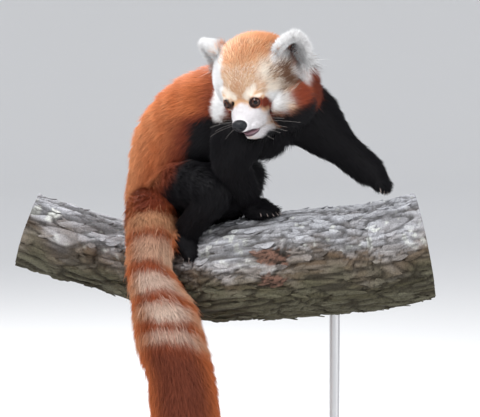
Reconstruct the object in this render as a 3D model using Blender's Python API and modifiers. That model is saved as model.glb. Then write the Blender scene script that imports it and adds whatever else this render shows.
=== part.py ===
"""A life-size red panda on a cut length of branch, held by a plain display stand.

Metres, +Z up. The origin is the centre of the stand base's underside. The animal crouches
along +X with its chest turned towards -Y, looks back over its right side, and its tail
hangs down in front of the branch. Left and right are the animal's own. A tapered form is
a list of stations (x, y, z, radius), and every radius reaches the tips of the coat.
"""

import math
import random

import bmesh
import bpy
from mathutils import Matrix, Vector, noise
from mathutils.bvhtree import BVHTree

# Touching pieces keep this gap. A cutter is swollen a little more, for its flat facets,
# and the locks are cut back a little less, which leaves their neighbour's core whole.
GAP = 0.0003
SWELL = 0.00045
LOCK_SWELL = 0.00033

SPINE = (
    (-0.088, 0.020, 0.458, 0.050),
    (-0.075, 0.012, 0.481, 0.059),
    (-0.064, 0.000, 0.511, 0.064),
    (-0.041, -0.025, 0.541, 0.063),
    (-0.005, -0.055, 0.559, 0.058),
    (0.026, -0.072, 0.566, 0.050),
)
BELLY = ((-0.040, 0.000, 0.496), 0.056)
PAUNCH = ((-0.014, -0.034, 0.474), 0.046)
CHEST = ((0.024, -0.074, 0.548), 0.046)
NECK = (
    (0.020, -0.062, 0.566, 0.048),
    (0.041, -0.078, 0.575, 0.048),
    (0.046, -0.092, 0.582, 0.047),
    (0.033, -0.106, 0.585, 0.045),
)
FORELEG_LEFT = (
    (0.058, -0.056, 0.556, 0.040),
    (0.074, -0.056, 0.553, 0.040),
    (0.094, -0.060, 0.536, 0.032),
    (0.113, -0.066, 0.519, 0.0245),
    (0.132, -0.071, 0.503, 0.0220),
    (0.144, -0.074, 0.493, 0.0210),
)
FORELEG_RIGHT = (
    (0.004, -0.100, 0.546, 0.036),
    (-0.002, -0.110, 0.530, 0.033),
    (-0.009, -0.108, 0.507, 0.026),
    (-0.003, -0.092, 0.487, 0.0215),
    (0.008, -0.068, 0.464, 0.0175),
)
HINDLEG_RIGHT = (
    (-0.070, -0.018, 0.474, 0.042),
    (-0.056, -0.046, 0.474, 0.038),
    (-0.032, -0.076, 0.468, 0.029),
    (-0.044, -0.072, 0.446, 0.022),
    (-0.058, -0.060, 0.424, 0.018),
)
HINDLEG_LEFT = (
    (-0.074, 0.040, 0.464, 0.043),
    (-0.056, 0.060, 0.462, 0.039),
    (-0.026, 0.072, 0.460, 0.029),
    (-0.032, 0.062, 0.438, 0.022),
    (-0.034, 0.044, 0.420, 0.018),
)
TAIL = (
    (-0.090, 0.012, 0.446, 0.036),
    (-0.099, -0.018, 0.444, 0.035),
    (-0.103, -0.046, 0.430, 0.033),
    (-0.103, -0.064, 0.409, 0.0315),
    (-0.104, -0.075, 0.380, 0.0295),
    (-0.096, -0.083, 0.350, 0.0330),
    (-0.086, -0.090, 0.322, 0.0400),
    (-0.080, -0.095, 0.298, 0.0420),
    (-0.070, -0.100, 0.266, 0.0410),
    (-0.065, -0.104, 0.236, 0.0420),
    (-0.062, -0.106, 0.206, 0.0420),
    (-0.060, -0.105, 0.166, 0.0405),
    (-0.061, -0.100, 0.122, 0.0360),
    (-0.065, -0.093, 0.082, 0.0270),
    (-0.069, -0.086, 0.054, 0.0160),
)
TAIL_CUTS = (0.352, 0.205)

# Each paw: the place of its middle, then where its toes point.
FOREPAW_LEFT = ((0.151, -0.0755, 0.488), (0.62, -0.28, -0.74))
FOREPAW_RIGHT = ((0.0185, -0.0560, 0.4450), (0.66, -0.74, -0.12))
HINDPAW_LEFT = ((-0.030, 0.034, 0.406), (0.60, 0.30, -0.72))
HINDPAW_RIGHT = ((-0.0635, -0.0550, 0.4065), (0.52, -0.32, -0.78))
PAW_RADII = (0.0195, 0.0240, 0.0140)
TOE_COUNT = 5
TOE_RADIUS = 0.0074
TOE_FAN = math.radians(62.0)
CLAW_LENGTH = 0.013
CLAW_RADIUS = 0.0020

# The head's own frame has +X to its left, -Y to its nose and +Z to its crown. A form on
# the head is given as (out to the side, forward, up).
HEAD_PLACE = (0.0246, -0.1250, 0.5794)
HEAD_YAW = math.radians(-31.0)
HEAD_PITCH = math.radians(21.0)
HEAD_ROLL = math.radians(-5.0)
CRANIUM = ((0.0, -0.001, 0.0195), (0.0500, 0.0490, 0.0490))
CHEEK = ((0.0315, 0.0080, -0.0095), (0.0265, 0.0280, 0.0270))
BROW = ((0.0150, 0.0300, 0.0180), (0.0180, 0.0180, 0.0150))
LIP = ((0.0090, 0.0400, -0.0165), (0.0105, 0.0150, 0.0095))
MUZZLE = (
    (0.0, 0.024, -0.0070, 0.0270),
    (0.0, 0.040, -0.0115, 0.0190),
    (0.0, 0.050, -0.0140, 0.0130),
)
JAW = (
    (0.0, 0.012, -0.0220, 0.0230),
    (0.0, 0.033, -0.0265, 0.0140),
    (0.0, 0.043, -0.0280, 0.0085),
)
EYE = ((0.0172, 0.0408, 0.0075), 0.0066)
EYE_GAZE = (0.50, 1.00, 0.10)
LID_RADIUS = 0.0021
LID_SIDES = 12
NOSE = ((0.0, 0.0590, -0.0135), (0.0088, 0.0064, 0.0070))
NOSTRIL = ((0.0037, 0.0648, -0.0145), (0.0018, 0.0030, 0.0014))
MOUTH = ((0.0, 0.0520, -0.0232), (0.0200, 0.0240, 0.0020))
TONGUE = ((0.0040, 0.0450, -0.0248), (0.0080, 0.0105, 0.0030))
EAR_BASE = (0.0440, -0.0040, 0.0350)
EAR_HEIGHT = 0.0370
EAR_HALF_WIDTH = 0.0215
EAR_CUP = 0.0140
EAR_THICKNESS = 0.0085
EAR_SPLAY = math.radians(30.0)
EAR_TURN = math.radians(38.0)

# The coat's locks. Each starts sunk in its core and lies along it, with its tip at the
# coat's full reach. A kind of lock has its length, its half width and its rows' spacing.
# LOCK_FACES is the share of faces that a core and its locks keep once they are joined.
CORE_DEPTH = 0.0065
LOCK_SINK = 0.0040
LOCK_THICKNESS = 0.0022
LOCK_PLACES = (0.0, 0.30, 0.66, 1.0)
LOCK_RISES = (0.45, 0.95)
LOCK_WIDTHS = (0.55, 1.00, 0.78)
LOCK_DEPTHS = (1.00, 0.85, 0.60)
LOCK_CLEARANCE = 0.0006
LOCK_TRIES = (1.0, 0.7, 0.5)
LOCK_SWAY = 0.12
LOCK_FACES = 0.70
ROOT_SEARCH = 0.12
BODY_LOCKS = (0.052, 0.0180, 0.033)
NECK_LOCKS = (0.046, 0.0185, 0.032)
TAIL_LOCKS = (0.058, 0.0174, 0.041)
ROW_ROOM = 1.10
BODY_DROOP = 0.55
RUFF_MIDDLE = (0.018, 0.002, -0.004)
RUFF_LOCK = (0.030, 0.0115)
RUFF_RISE = 0.0045
RUFF_ROWS = ((0.10, 7),)
RUFF_SWEEP = (math.radians(52.0), math.radians(-118.0))

BRANCH = (
    (-0.254, 0.035, 0.412, 0.0440),
    (-0.197, 0.033, 0.394, 0.0450),
    (-0.141, 0.030, 0.378, 0.0465),
    (-0.089, 0.015, 0.367, 0.0510),
    (-0.041, -0.015, 0.365, 0.0570),
    (0.019, -0.045, 0.375, 0.0600),
    (0.087, -0.050, 0.382, 0.0615),
    (0.152, -0.050, 0.388, 0.0630),
    (0.214, -0.050, 0.400, 0.0635),
)
BARK_DEPTH = 0.0022
BARK_GRAIN = (18.0, 55.0, 55.0)
BARK_MARGIN = 0.012
BASE_SIZE = (0.400, 0.300, 0.018)
BASE_CORNER = 0.004
ROD_RADIUS = 0.006
ROD_TOP = 0.370
ROD_FEET = ((-0.090, 0.015), (0.110, -0.050))

# How fine each form of flesh is: its voxel, its rounds of smoothing and its triangles.
TORSO_MELT = (0.0050, 12, 520)
NECK_MELT = (0.0040, 6, 300)
LEG_MELT = (0.0040, 4, 260)
PAW_MELT = (0.0022, 4, 280)
HEAD_MELT = (0.0024, 4, 1080)
EAR_MELT = (0.0016, 6, 320)
TAIL_MELT = (0.0050, 4, 360)

RED = (0.38, 0.11, 0.035)
BLACK = (0.012, 0.011, 0.013)
WHITE = (0.82, 0.78, 0.74)
TAN = (0.52, 0.27, 0.13)
PINK = (0.45, 0.20, 0.22)
BARK = (0.16, 0.145, 0.12)
STEEL = (0.35, 0.35, 0.36)


def make_collection(name):
    """A collection linked to the scene."""
    found = bpy.data.collections.new(name)
    bpy.context.scene.collection.children.link(found)
    return found


def make_material(name, colour, roughness, metallic=0.0):
    """A Principled material in one colour."""
    made = bpy.data.materials.new(name)
    made.use_nodes = True
    shader = made.node_tree.nodes["Principled BSDF"]
    shader.inputs["Base Color"].default_value = (*colour, 1.0)
    shader.inputs["Roughness"].default_value = roughness
    shader.inputs["Metallic"].default_value = metallic
    return made


def link(name, mesh, home):
    """An object for the mesh in the given collection."""
    made = bpy.data.objects.new(name, mesh)
    home.objects.link(made)
    return made


def mesh_of(shape):
    """A mesh from a bmesh, which is freed."""
    mesh = bpy.data.meshes.new("form")
    shape.to_mesh(mesh)
    shape.free()
    return mesh


def ball(centre, radii, turn=None, fineness=3):
    """An ellipsoid, or a sphere where radii is one number."""
    if not hasattr(radii, "__len__"):
        radii = (radii, radii, radii)
    place = Matrix.Translation(centre)
    if turn is not None:
        place = place @ turn.to_4x4()
    place = place @ Matrix.Diagonal((*radii, 1.0))
    shape = bmesh.new()
    bmesh.ops.create_icosphere(shape, subdivisions=fineness, radius=1.0, matrix=place)
    return mesh_of(shape)


def box(low, high):
    """A box between two corners."""
    size = Vector(high) - Vector(low)
    place = Matrix.Translation(Vector(low) + size / 2) @ Matrix.Diagonal((*size, 1.0))
    shape = bmesh.new()
    bmesh.ops.create_cube(shape, size=1.0, matrix=place)
    return mesh_of(shape)


def through(stations, per_span):
    """Points on a smooth curve through the stations, each with its radius."""
    ends = [stations[0], *stations, stations[-1]]
    found = []
    for group in zip(ends, ends[1:], ends[2:], ends[3:]):
        for step in range(per_span):
            t = step / per_span
            found.append([smooth_between(values, t) for values in zip(*group)])
    found.append(list(stations[-1]))
    return found


def smooth_between(values, t):
    """A Catmull-Rom value between the second and third of four values."""
    p, q, r, s = values
    bend = (2 * p - 5 * q + 4 * r - s) * t * t + (3 * q - p - 3 * r + s) * t ** 3
    return 0.5 * (2 * q + (r - p) * t + bend)


def round_cap(end, inner, steps=3):
    """Points that close a tube's end with a round cap, from the end outwards."""
    place = Vector(end[:3])
    out = (place - Vector(inner[:3])).normalized()
    angles = [math.pi / 2 * (k + 1) / (steps + 0.35) for k in range(steps)]
    return [[*(place + out * end[3] * math.sin(a)), end[3] * math.cos(a)] for a in angles]


def tube(stations, per_span=3, fineness=4, round_ends=True):
    """A closed form that follows the stations as a bevelled curve."""
    points = through(stations, per_span)
    if round_ends:
        first = round_cap(points[0], points[1])
        last = round_cap(points[-1], points[-2])
        points = first[::-1] + points + last
    curve = bpy.data.curves.new("tube", "CURVE")
    curve.dimensions = "3D"
    curve.bevel_depth = 1.0
    curve.bevel_resolution = fineness
    curve.use_fill_caps = True
    line = curve.splines.new("POLY")
    line.points.add(len(points) - 1)
    for spot, (x, y, z, radius) in zip(line.points, points):
        spot.co = (x, y, z, 1.0)
        spot.radius = radius
    holder = link("tube", curve, bpy.context.scene.collection)
    mesh = evaluated(holder)
    bpy.data.objects.remove(holder)
    shape = bmesh.new()
    shape.from_mesh(mesh)
    bmesh.ops.remove_doubles(shape, verts=shape.verts, dist=0.00002)
    bmesh.ops.recalc_face_normals(shape, faces=shape.faces)
    return mesh_of(shape)


def blade(path, acrosses, ups, widths, depths):
    """A closed form with a ridge on a flat back, tapered along the path to its end point."""
    shape = bmesh.new()
    rings = []
    for place, across, up, width, depth in zip(path, acrosses, ups, widths, depths):
        edges = (across * width - up * depth, across * -width - up * depth)
        rings.append([shape.verts.new(place + corner) for corner in (*edges, up * depth)])
    tip = shape.verts.new(path[-1])
    shape.faces.new(rings[0])
    for low, high in zip(rings, rings[1:]):
        for k in range(3):
            after = (k + 1) % 3
            shape.faces.new((low[k], low[after], high[k]))
            shape.faces.new((low[after], high[after], high[k]))
    for k in range(3):
        shape.faces.new((rings[-1][k], rings[-1][(k + 1) % 3], tip))
    bmesh.ops.recalc_face_normals(shape, faces=shape.faces)
    return mesh_of(shape)


def ring(loop, radius, sides=4):
    """A closed ring of the given radius along a loop of points."""
    shape = bmesh.new()
    count = len(loop)
    middle = sum(loop, Vector()) / count
    hoops = []
    for k, point in enumerate(loop):
        along = (loop[(k + 1) % count] - loop[k - 1]).normalized()
        out = (point - middle).normalized()
        side = along.cross(out)
        angles = [2 * math.pi * j / sides for j in range(sides)]
        spots = [point + radius * (out * math.cos(a) + side * math.sin(a)) for a in angles]
        hoops.append([shape.verts.new(spot) for spot in spots])
    for k in range(count):
        near, far = hoops[k], hoops[(k + 1) % count]
        for j in range(sides):
            after = (j + 1) % sides
            shape.faces.new((near[j], near[after], far[after], far[j]))
    bmesh.ops.recalc_face_normals(shape, faces=shape.faces)
    return mesh_of(shape)


def joined(meshes):
    """One mesh of several."""
    shape = bmesh.new()
    for mesh in meshes:
        shape.from_mesh(mesh)
    return mesh_of(shape)


def evaluated(thing):
    """A mesh of the object with its modifiers applied."""
    bpy.context.view_layer.update()
    graph = bpy.context.evaluated_depsgraph_get()
    return bpy.data.meshes.new_from_object(thing.evaluated_get(graph))


def settle(thing):
    """Applies the object's modifiers."""
    mesh = evaluated(thing)
    thing.modifiers.clear()
    thing.data = mesh


def spread(group):
    """The diagonal of the box round some faces."""
    spots = [vert.co for side in group for vert in side.verts]
    low = [min(s[k] for s in spots) for k in range(3)]
    high = [max(s[k] for s in spots) for k in range(3)]
    return (Vector(high) - Vector(low)).length


def keep_largest(thing):
    """Drops every closed surface of the object but its largest."""
    shape = bmesh.new()
    shape.from_mesh(thing.data)
    bmesh.ops.triangulate(shape, faces=shape.faces)
    left = set(shape.faces)
    groups = []
    while left:
        group = {left.pop()}
        border = list(group)
        while border:
            for edge in border.pop().edges:
                if len(edge.link_faces) == 2:
                    beside = left.intersection(edge.link_faces)
                    left -= beside
                    group |= beside
                    border += beside
        groups.append(group)
    groups.sort(key=spread, reverse=True)
    for group in groups[1:]:
        bmesh.ops.delete(shape, geom=list(group), context="FACES")
    shape.to_mesh(thing.data)
    shape.free()


def combine(thing, others, operation, solver="EXACT"):
    """Applies one Boolean to the object for each of the others, which are then removed."""
    for other in others:
        cut = thing.modifiers.new("cut", "BOOLEAN")
        cut.operation = operation
        cut.solver = solver
        cut.object = other
    settle(thing)
    for other in others:
        bpy.data.objects.remove(other)
    keep_largest(thing)


def melt_together(name, meshes, home, fineness):
    """One smooth closed body of overlapping forms, as fine as one of the melts above."""
    voxel, rounds, triangles = fineness
    thing = link(name, joined(meshes), home)
    melt = thing.modifiers.new("melt", "REMESH")
    melt.mode = "VOXEL"
    melt.voxel_size = voxel
    soften = thing.modifiers.new("soften", "SMOOTH")
    soften.factor = 0.5
    soften.iterations = rounds
    settle(thing)
    thin = thing.modifiers.new("thin", "DECIMATE")
    thin.ratio = min(1.0, triangles / (2.0 * len(thing.data.polygons)))
    settle(thing)
    keep_largest(thing)
    return thing


def swollen(mesh, amount, cutters):
    """A copy of the mesh, grown along its normals, to cut a neighbour with a gap."""
    shape = bmesh.new()
    shape.from_mesh(mesh)
    shape.normal_update()
    for vert in shape.verts:
        vert.co += vert.normal * amount * vert.calc_shell_factor()
    made = link("cutter", mesh_of(shape), cutters)
    made.hide_render = True
    made.display_type = "WIRE"
    return made


def corners(mesh):
    """The low and high corners of the mesh."""
    spots = [v.co for v in mesh.vertices]
    low = [min(s[k] for s in spots) for k in range(3)]
    high = [max(s[k] for s in spots) for k in range(3)]
    return low, high


def near(one, other):
    """Whether the boxes of two meshes come within a gap of each other."""
    low, high = corners(one)
    other_low, other_high = corners(other)
    return all(
        low[k] < other_high[k] + 2 * GAP and other_low[k] < high[k] + 2 * GAP for k in range(3)
    )


def fit_together(order, cutters):
    """Cuts each object back to a gap from those before it in the list."""
    for place, thing in enumerate(order):
        before = [other.data for other in order[:place] if near(thing.data, other.data)]
        if before:
            grown = [swollen(mesh, SWELL, cutters) for mesh in before]
            combine(thing, grown, "DIFFERENCE", solver="MANIFOLD")


def thinner(stations):
    """The stations with every radius cut back from the coat's tips to its core."""
    return [(*station[:3], station[3] - CORE_DEPTH) for station in stations]


def rows_along(stations, spacing, width):
    """Points on the stations' line, each with the line's way and the rays of its row."""
    points = [Vector(point) for point in through(stations, 8)]
    walked = 0.0
    due = spacing * 0.5
    row = 0
    for one, other in zip(points, points[1:]):
        step = (other - one).to_3d()
        while walked + step.length >= due:
            share = (due - walked) / step.length
            spot = one.lerp(other, share)
            count = max(4, round(math.pi * spot[3] / (width * ROW_ROOM)))
            across = step.orthogonal().normalized()
            turns = [2 * math.pi * (k + row % 2 / 2) / count for k in range(count)]
            rays = [Matrix.Rotation(turn, 3, step) @ across for turn in turns]
            yield spot.to_3d(), step.normalized(), rays
            due += spacing
            row += 1
        walked += step.length


def lock(surface, root, way, length, half_width, reach):
    """A flat tapered lock that grows from root along way and follows the surface."""
    path, acrosses, ups = [], [], []
    rises = (-LOCK_SINK, *(reach * rise for rise in LOCK_RISES), reach)
    spot, normal = surface.find_nearest(root)[:2]
    before = 0.0
    for place, rise in zip(LOCK_PLACES, rises):
        way = (way - normal * way.dot(normal)).normalized()
        spot, normal = surface.find_nearest(spot + way * length * (place - before))[:2]
        before = place
        path.append(spot + normal * rise)
        acrosses.append(normal.cross(way))
        ups.append(normal)
    widths = [half_width * share for share in LOCK_WIDTHS]
    depths = [LOCK_THICKNESS * share for share in LOCK_DEPTHS]
    return blade(path, acrosses[:3], ups[:3], widths, depths), path[2]


def fitting_lock(surface, root, way, kind, reach, locks, cores, cut_back=True):
    """The longest lock from root that keeps clear of the other nodes, or None.

    Where cut_back is true, one that runs into a core may stay, to be cut back to it, unless
    most of it is buried there.
    """
    length, half_width = kind
    spare = None
    for share in LOCK_TRIES:
        mesh, middle = lock(surface, root, way, length * share, half_width * share, reach)
        shape = bmesh.new()
        shape.from_mesh(mesh)
        for vert in shape.verts:
            vert.co += vert.normal * LOCK_CLEARANCE
        grown = BVHTree.FromBMesh(shape)
        shape.free()
        if any(grown.overlap(other) for other in locks):
            continue
        if not grown.overlap(cores):
            return mesh
        place, normal = cores.find_nearest(middle)[:2]
        if cut_back and spare is None and (middle - place).dot(normal) > 0.0:
            spare = mesh
    return spare


def surface_of(*meshes):
    """The surface of some meshes together, to find places on."""
    shape = bmesh.new()
    for mesh in meshes:
        shape.from_mesh(mesh)
    tree = BVHTree.FromBMesh(shape)
    shape.free()
    return tree


def body_locks(own, under, beside, stations, kind, flow, locks, seed, cut_back=True):
    """Rows of locks round a core, its own, which lie over the one under them too.

    The lie is flow times the line's way. Flow below zero is back towards the tail, where
    the locks of the body also droop.
    """
    draw = random.Random(seed)
    length, half_width, spacing = kind
    core = surface_of(own)
    surface = surface_of(own, *under)
    cores = surface_of(*under, *beside)
    droop = Vector((0.0, 0.0, -BODY_DROOP if flow < 0.0 else 0.0))
    found = []
    for spot, way, rays in rows_along(stations, spacing, half_width):
        for ray in rays:
            root, normal = core.ray_cast(spot + ray * ROOT_SEARCH, -ray)[:2]
            if root is None:
                continue
            sway = normal.cross(way) * draw.uniform(-LOCK_SWAY, LOCK_SWAY)
            lie = way * flow + droop + sway
            size = (length * draw.uniform(0.88, 1.12), half_width)
            mesh = fitting_lock(surface, root, lie, size, CORE_DEPTH, locks, cores, cut_back)
            if mesh:
                found.append(mesh)
    return found


def ruff_locks(head, beside, seed):
    """The locks of each cheek's ruff, from below the ear round to the throat."""
    draw = random.Random(seed)
    surface = surface_of(head)
    cores = surface_of(*beside)
    frame = head_frame()
    turn = frame.to_3x3()
    start, end = RUFF_SWEEP
    length, half_width = RUFF_LOCK
    locks = []
    for side in (1, -1):
        middle = frame @ face(RUFF_MIDDLE, side)
        for forward, count in RUFF_ROWS:
            for k in range(count):
                angle = start + (end - start) * (k + draw.uniform(0.3, 0.7)) / count
                out, up = math.cos(angle), math.sin(angle)
                root = surface.ray_cast(middle, turn @ face((out, forward, up), side))[0]
                lie = turn @ face((out * 0.6, -1.0, up * 0.6 - 0.3), side)
                size = (length * draw.uniform(0.85, 1.2), half_width)
                mesh = fitting_lock(surface, root, lie, size, RUFF_RISE, [], cores)
                if mesh:
                    locks.append(mesh)
    return locks


def unite(core, meshes, share):
    """Joins many closed pieces to the core by one union, then keeps a share of the faces."""
    bunch = make_collection("pieces")
    pieces = [link("piece", mesh, bunch) for mesh in meshes]
    join = core.modifiers.new("join", "BOOLEAN")
    join.operation = "UNION"
    join.solver = "MANIFOLD"
    join.operand_type = "COLLECTION"
    join.collection = bunch
    settle(core)
    for piece in pieces:
        bpy.data.objects.remove(piece)
    bpy.data.collections.remove(bunch)
    keep_largest(core)
    thin = core.modifiers.new("thin", "DECIMATE")
    thin.ratio = share
    settle(core)


def grow_coats(head, neck, torso, tail, order, cutters):
    """Joins the locks to their cores, each cut clear of every other node's own form.

    Each node's locks also keep clear of the locks that are there before them.
    """
    plain = {thing: thing.data.copy() for thing in order}

    def besides(*things):
        return [mesh for thing, mesh in plain.items() if thing not in things]

    skull, nape, trunk, brush = (plain[thing] for thing in (head, neck, torso, tail))
    ruff = ruff_locks(skull, besides(head), 4)
    grown = [surface_of(*ruff)]
    rest = besides(neck, torso)
    mane = body_locks(nape, [trunk], rest, NECK, NECK_LOCKS, -1.0, grown, 2, cut_back=False)
    grown.append(surface_of(*mane))
    rest = besides(torso, tail)
    back = body_locks(trunk, [brush], rest, SPINE, BODY_LOCKS, -1.0, grown, 1)
    grown.append(surface_of(*back))
    plume = body_locks(brush, [], besides(tail), TAIL, TAIL_LOCKS, 1.0, grown, 5)

    coats = ((head, ruff, 1.0), (neck, mane, 1.0), (torso, back, LOCK_FACES))
    for core, locks, share in (*coats, (tail, plume, LOCK_FACES)):
        unite(core, locks, share)
        beside = [mesh for mesh in besides(core) if near(core.data, mesh)]
        fitted = [swollen(mesh, LOCK_SWELL, cutters) for mesh in beside]
        combine(core, fitted, "DIFFERENCE", solver="MANIFOLD")


def make_torso(home):
    """The trunk's core from rump to withers, with the belly, the paunch and the chest."""
    balls = [ball(place, radius - CORE_DEPTH) for place, radius in (BELLY, PAUNCH, CHEST)]
    forms = [tube(thinner(SPINE), fineness=6), *balls]
    return melt_together("torso", forms, home, TORSO_MELT)


def make_neck(home):
    """The neck's core, bent round to the animal's right."""
    return melt_together("neck", [tube(thinner(NECK), fineness=5)], home, NECK_MELT)


def make_leg(name, stations, home):
    """One leg from hip or shoulder to wrist or ankle."""
    return melt_together(name, [tube(stations, fineness=5)], home, LEG_MELT)


def claw(root, aim):
    """One curved claw that starts at root and points along aim."""
    droop = Vector((0.0, 0.0, -CLAW_LENGTH))
    path = [root, root + aim * CLAW_LENGTH * 0.5 + droop * 0.1]
    path.append(root + aim * CLAW_LENGTH * 0.9 + droop * 0.4)
    across = aim.cross(Vector((0.0, 0.0, 1.0))).normalized()
    up = across.cross(aim).normalized()
    widths = [CLAW_RADIUS, CLAW_RADIUS * 0.75]
    return blade(path, [across] * 2, [up] * 2, widths, widths)


def make_paw(name, place, toes, home):
    """A broad foot with five toes and their claws."""
    aim = Vector(toes).normalized()
    across = aim.cross(Vector((0.0, 0.0, 1.0))).normalized()
    up = across.cross(aim)
    turn = Matrix((across, aim, up)).transposed()
    centre = Vector(place)
    forms = [ball(centre, PAW_RADII, turn)]
    claws = []
    for k in range(TOE_COUNT):
        fan = TOE_FAN * (k / (TOE_COUNT - 1) - 0.5)
        way = turn @ Vector((math.sin(fan), math.cos(fan), 0.0))
        toe = centre + way * PAW_RADII[1] * 0.86
        forms.append(ball(toe, TOE_RADIUS, fineness=2))
        claws.append(claw(toe + way * TOE_RADIUS * 0.4, way))
    paw = melt_together(name, forms, home, PAW_MELT)
    combine(paw, [link("claw", mesh, home) for mesh in claws], "UNION")
    return paw


def head_frame():
    """The matrix from the head's own frame to the world."""
    turn = Matrix.Rotation(HEAD_YAW, 4, "Z") @ Matrix.Rotation(HEAD_PITCH, 4, "X")
    return Matrix.Translation(HEAD_PLACE) @ turn @ Matrix.Rotation(HEAD_ROLL, 4, "Y")


def face(point, side=1):
    """A point given as (out to the side, forward, up), in the head's frame."""
    return Vector((side * point[0], -point[1], point[2]))


def face_tube(stations):
    """A tapered form whose stations are (out, forward, up, radius)."""
    return tube([(*face(s[:3]), s[3]) for s in stations])


def on_head(name, mesh, home):
    """An object for a mesh given in the head's frame."""
    mesh.transform(head_frame())
    return link(name, mesh, home)


def make_head(home):
    """The skull's outer form with brows, cheeks, muzzle, lips, lids and a parted mouth."""
    forms = [ball(face(CRANIUM[0]), CRANIUM[1]), face_tube(MUZZLE), face_tube(JAW)]
    for side in (1, -1):
        for place, radii in (CHEEK, BROW, LIP):
            forms.append(ball(face(place, side), radii))
    head = melt_together("head", forms, home, HEAD_MELT)
    head.data.transform(head_frame())
    combine(head, make_lids(home), "UNION")
    combine(head, [on_head("mouth", ball(face(MOUTH[0]), MOUTH[1]), home)], "DIFFERENCE")
    return head


def make_lids(home):
    """The lids of each eye as a ring of flesh."""
    place, radius = EYE
    lids = []
    for side in (1, -1):
        gaze = face(EYE_GAZE, side).normalized()
        turn = gaze.to_track_quat("Z", "Y").to_matrix()
        centre = face(place, side) + gaze * radius * 0.42
        angles = [2 * math.pi * k / LID_SIDES for k in range(LID_SIDES)]
        spots = [Vector((math.cos(a), math.sin(a), 0.0)) * radius * 0.92 for a in angles]
        loop = [centre + turn @ spot for spot in spots]
        lids.append(on_head("lids", ring(loop, LID_RADIUS), home))
    return lids


def make_eyes(home):
    """Both eyeballs."""
    place, radius = EYE
    left = on_head("eye_left", ball(face(place, 1), radius, fineness=2), home)
    return [left, on_head("eye_right", ball(face(place, -1), radius, fineness=2), home)]


def make_tongue(home):
    """The tip of the tongue between the parted lips."""
    return on_head("tongue", ball(face(TONGUE[0]), TONGUE[1], fineness=2), home)


def make_nose(home):
    """The bare nose leather with its two nostrils."""
    nose = on_head("nose", ball(face(NOSE[0]), NOSE[1], fineness=2), home)
    place, radii = NOSTRIL
    holes = [ball(face(place, side), radii, fineness=1) for side in (1, -1)]
    combine(nose, [on_head("nostril", hole, home) for hole in holes], "DIFFERENCE")
    return nose


def make_ear(name, side, home):
    """One ear as a rounded cup that opens forward and outward."""
    rows, columns = 9, 9
    shape = bmesh.new()
    grid = []
    for i in range(rows):
        rise = i / (rows - 1)
        half = max(EAR_HALF_WIDTH * math.sqrt(1.0 - rise ** 2.2) * (1 - 0.12 * rise), 0.0015)
        line = []
        for j in range(columns):
            across = 2 * j / (columns - 1) - 1
            cup = EAR_CUP * (1 - across ** 2) * (1 - rise ** 3)
            line.append(shape.verts.new((across * half, cup, rise * EAR_HEIGHT)))
        grid.append(line)
    for low, high in zip(grid, grid[1:]):
        for j in range(columns - 1):
            shape.faces.new((low[j], low[j + 1], high[j + 1], high[j]))
    bmesh.ops.recalc_face_normals(shape, faces=shape.faces)
    wall = link("wall", mesh_of(shape), home)
    thicken = wall.modifiers.new("thicken", "SOLIDIFY")
    thicken.thickness = EAR_THICKNESS
    thicken.offset = 0.0
    settle(wall)
    ear = melt_together(name, [wall.data], home, EAR_MELT)
    bpy.data.objects.remove(wall)
    splay = Matrix.Rotation(side * EAR_SPLAY, 4, "Y")
    turn = Matrix.Rotation(side * EAR_TURN, 4, "Z")
    ear.data.transform(head_frame() @ Matrix.Translation(face(EAR_BASE, side)) @ splay @ turn)
    return ear


def make_tail(home):
    """The core of the whole tail."""
    return melt_together("tail", [tube(thinner(TAIL), fineness=6)], home, TAIL_MELT)


def part_tail(whole, home):
    """The tail in three lengths, parted by level cuts."""
    limits = [(TAIL_CUTS[0], 1.0), (TAIL_CUTS[1], TAIL_CUTS[0]), (0.0, TAIL_CUTS[1])]
    parts = []
    for name, (low, high) in zip(("tail_root", "tail_middle", "tail_tip"), limits):
        part = link(name, whole.data.copy(), home)
        slab = box((-0.5, -0.5, low + GAP / 2), (0.5, 0.5, high - GAP / 2))
        combine(part, [link("slab", slab, home)], "INTERSECT", solver="MANIFOLD")
        parts.append(part)
    bpy.data.objects.remove(whole)
    return parts


def make_branch(home):
    """The cut length of branch, with coarse bark between its sawn ends."""
    mesh = tube(BRANCH, per_span=3, fineness=5, round_ends=False)
    branch = link("perch_branch", mesh, home)
    low, high = corners(mesh)
    shape = bmesh.new()
    shape.from_mesh(mesh)
    shape.normal_update()
    for vert in shape.verts:
        if low[0] + BARK_MARGIN < vert.co.x < high[0] - BARK_MARGIN:
            grain = Vector([vert.co[k] * BARK_GRAIN[k] for k in range(3)])
            vert.co += vert.normal * BARK_DEPTH * noise.noise(grain)
    branch.data = mesh_of(shape)
    return branch


def make_base(home):
    """The stand's flat base plate, with softened edges."""
    half = Vector(BASE_SIZE) / 2
    base = link("stand_base", box((-half.x, -half.y, 0.0), (half.x, half.y, BASE_SIZE[2])), home)
    edge = base.modifiers.new("edge", "BEVEL")
    edge.width = BASE_CORNER
    edge.segments = 3
    settle(base)
    return base


def make_rod(name, foot, home):
    """One rod from the base up into the branch."""
    low = BASE_SIZE[2] + GAP
    place = Matrix.Translation((*foot, (low + ROD_TOP) / 2))
    shape = bmesh.new()
    bmesh.ops.create_cone(
        shape, cap_ends=True, segments=20, radius1=ROD_RADIUS, radius2=ROD_RADIUS,
        depth=ROD_TOP - low, matrix=place,
    )
    return link(name, mesh_of(shape), home)


def dress(things, material):
    """Gives each object the material and smooth shading."""
    for thing in things:
        thing.data.materials.clear()
        thing.data.materials.append(material)
        thing.data.shade_smooth()
        thing.data.set_sharp_from_angle(angle=math.radians(40.0))


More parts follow.
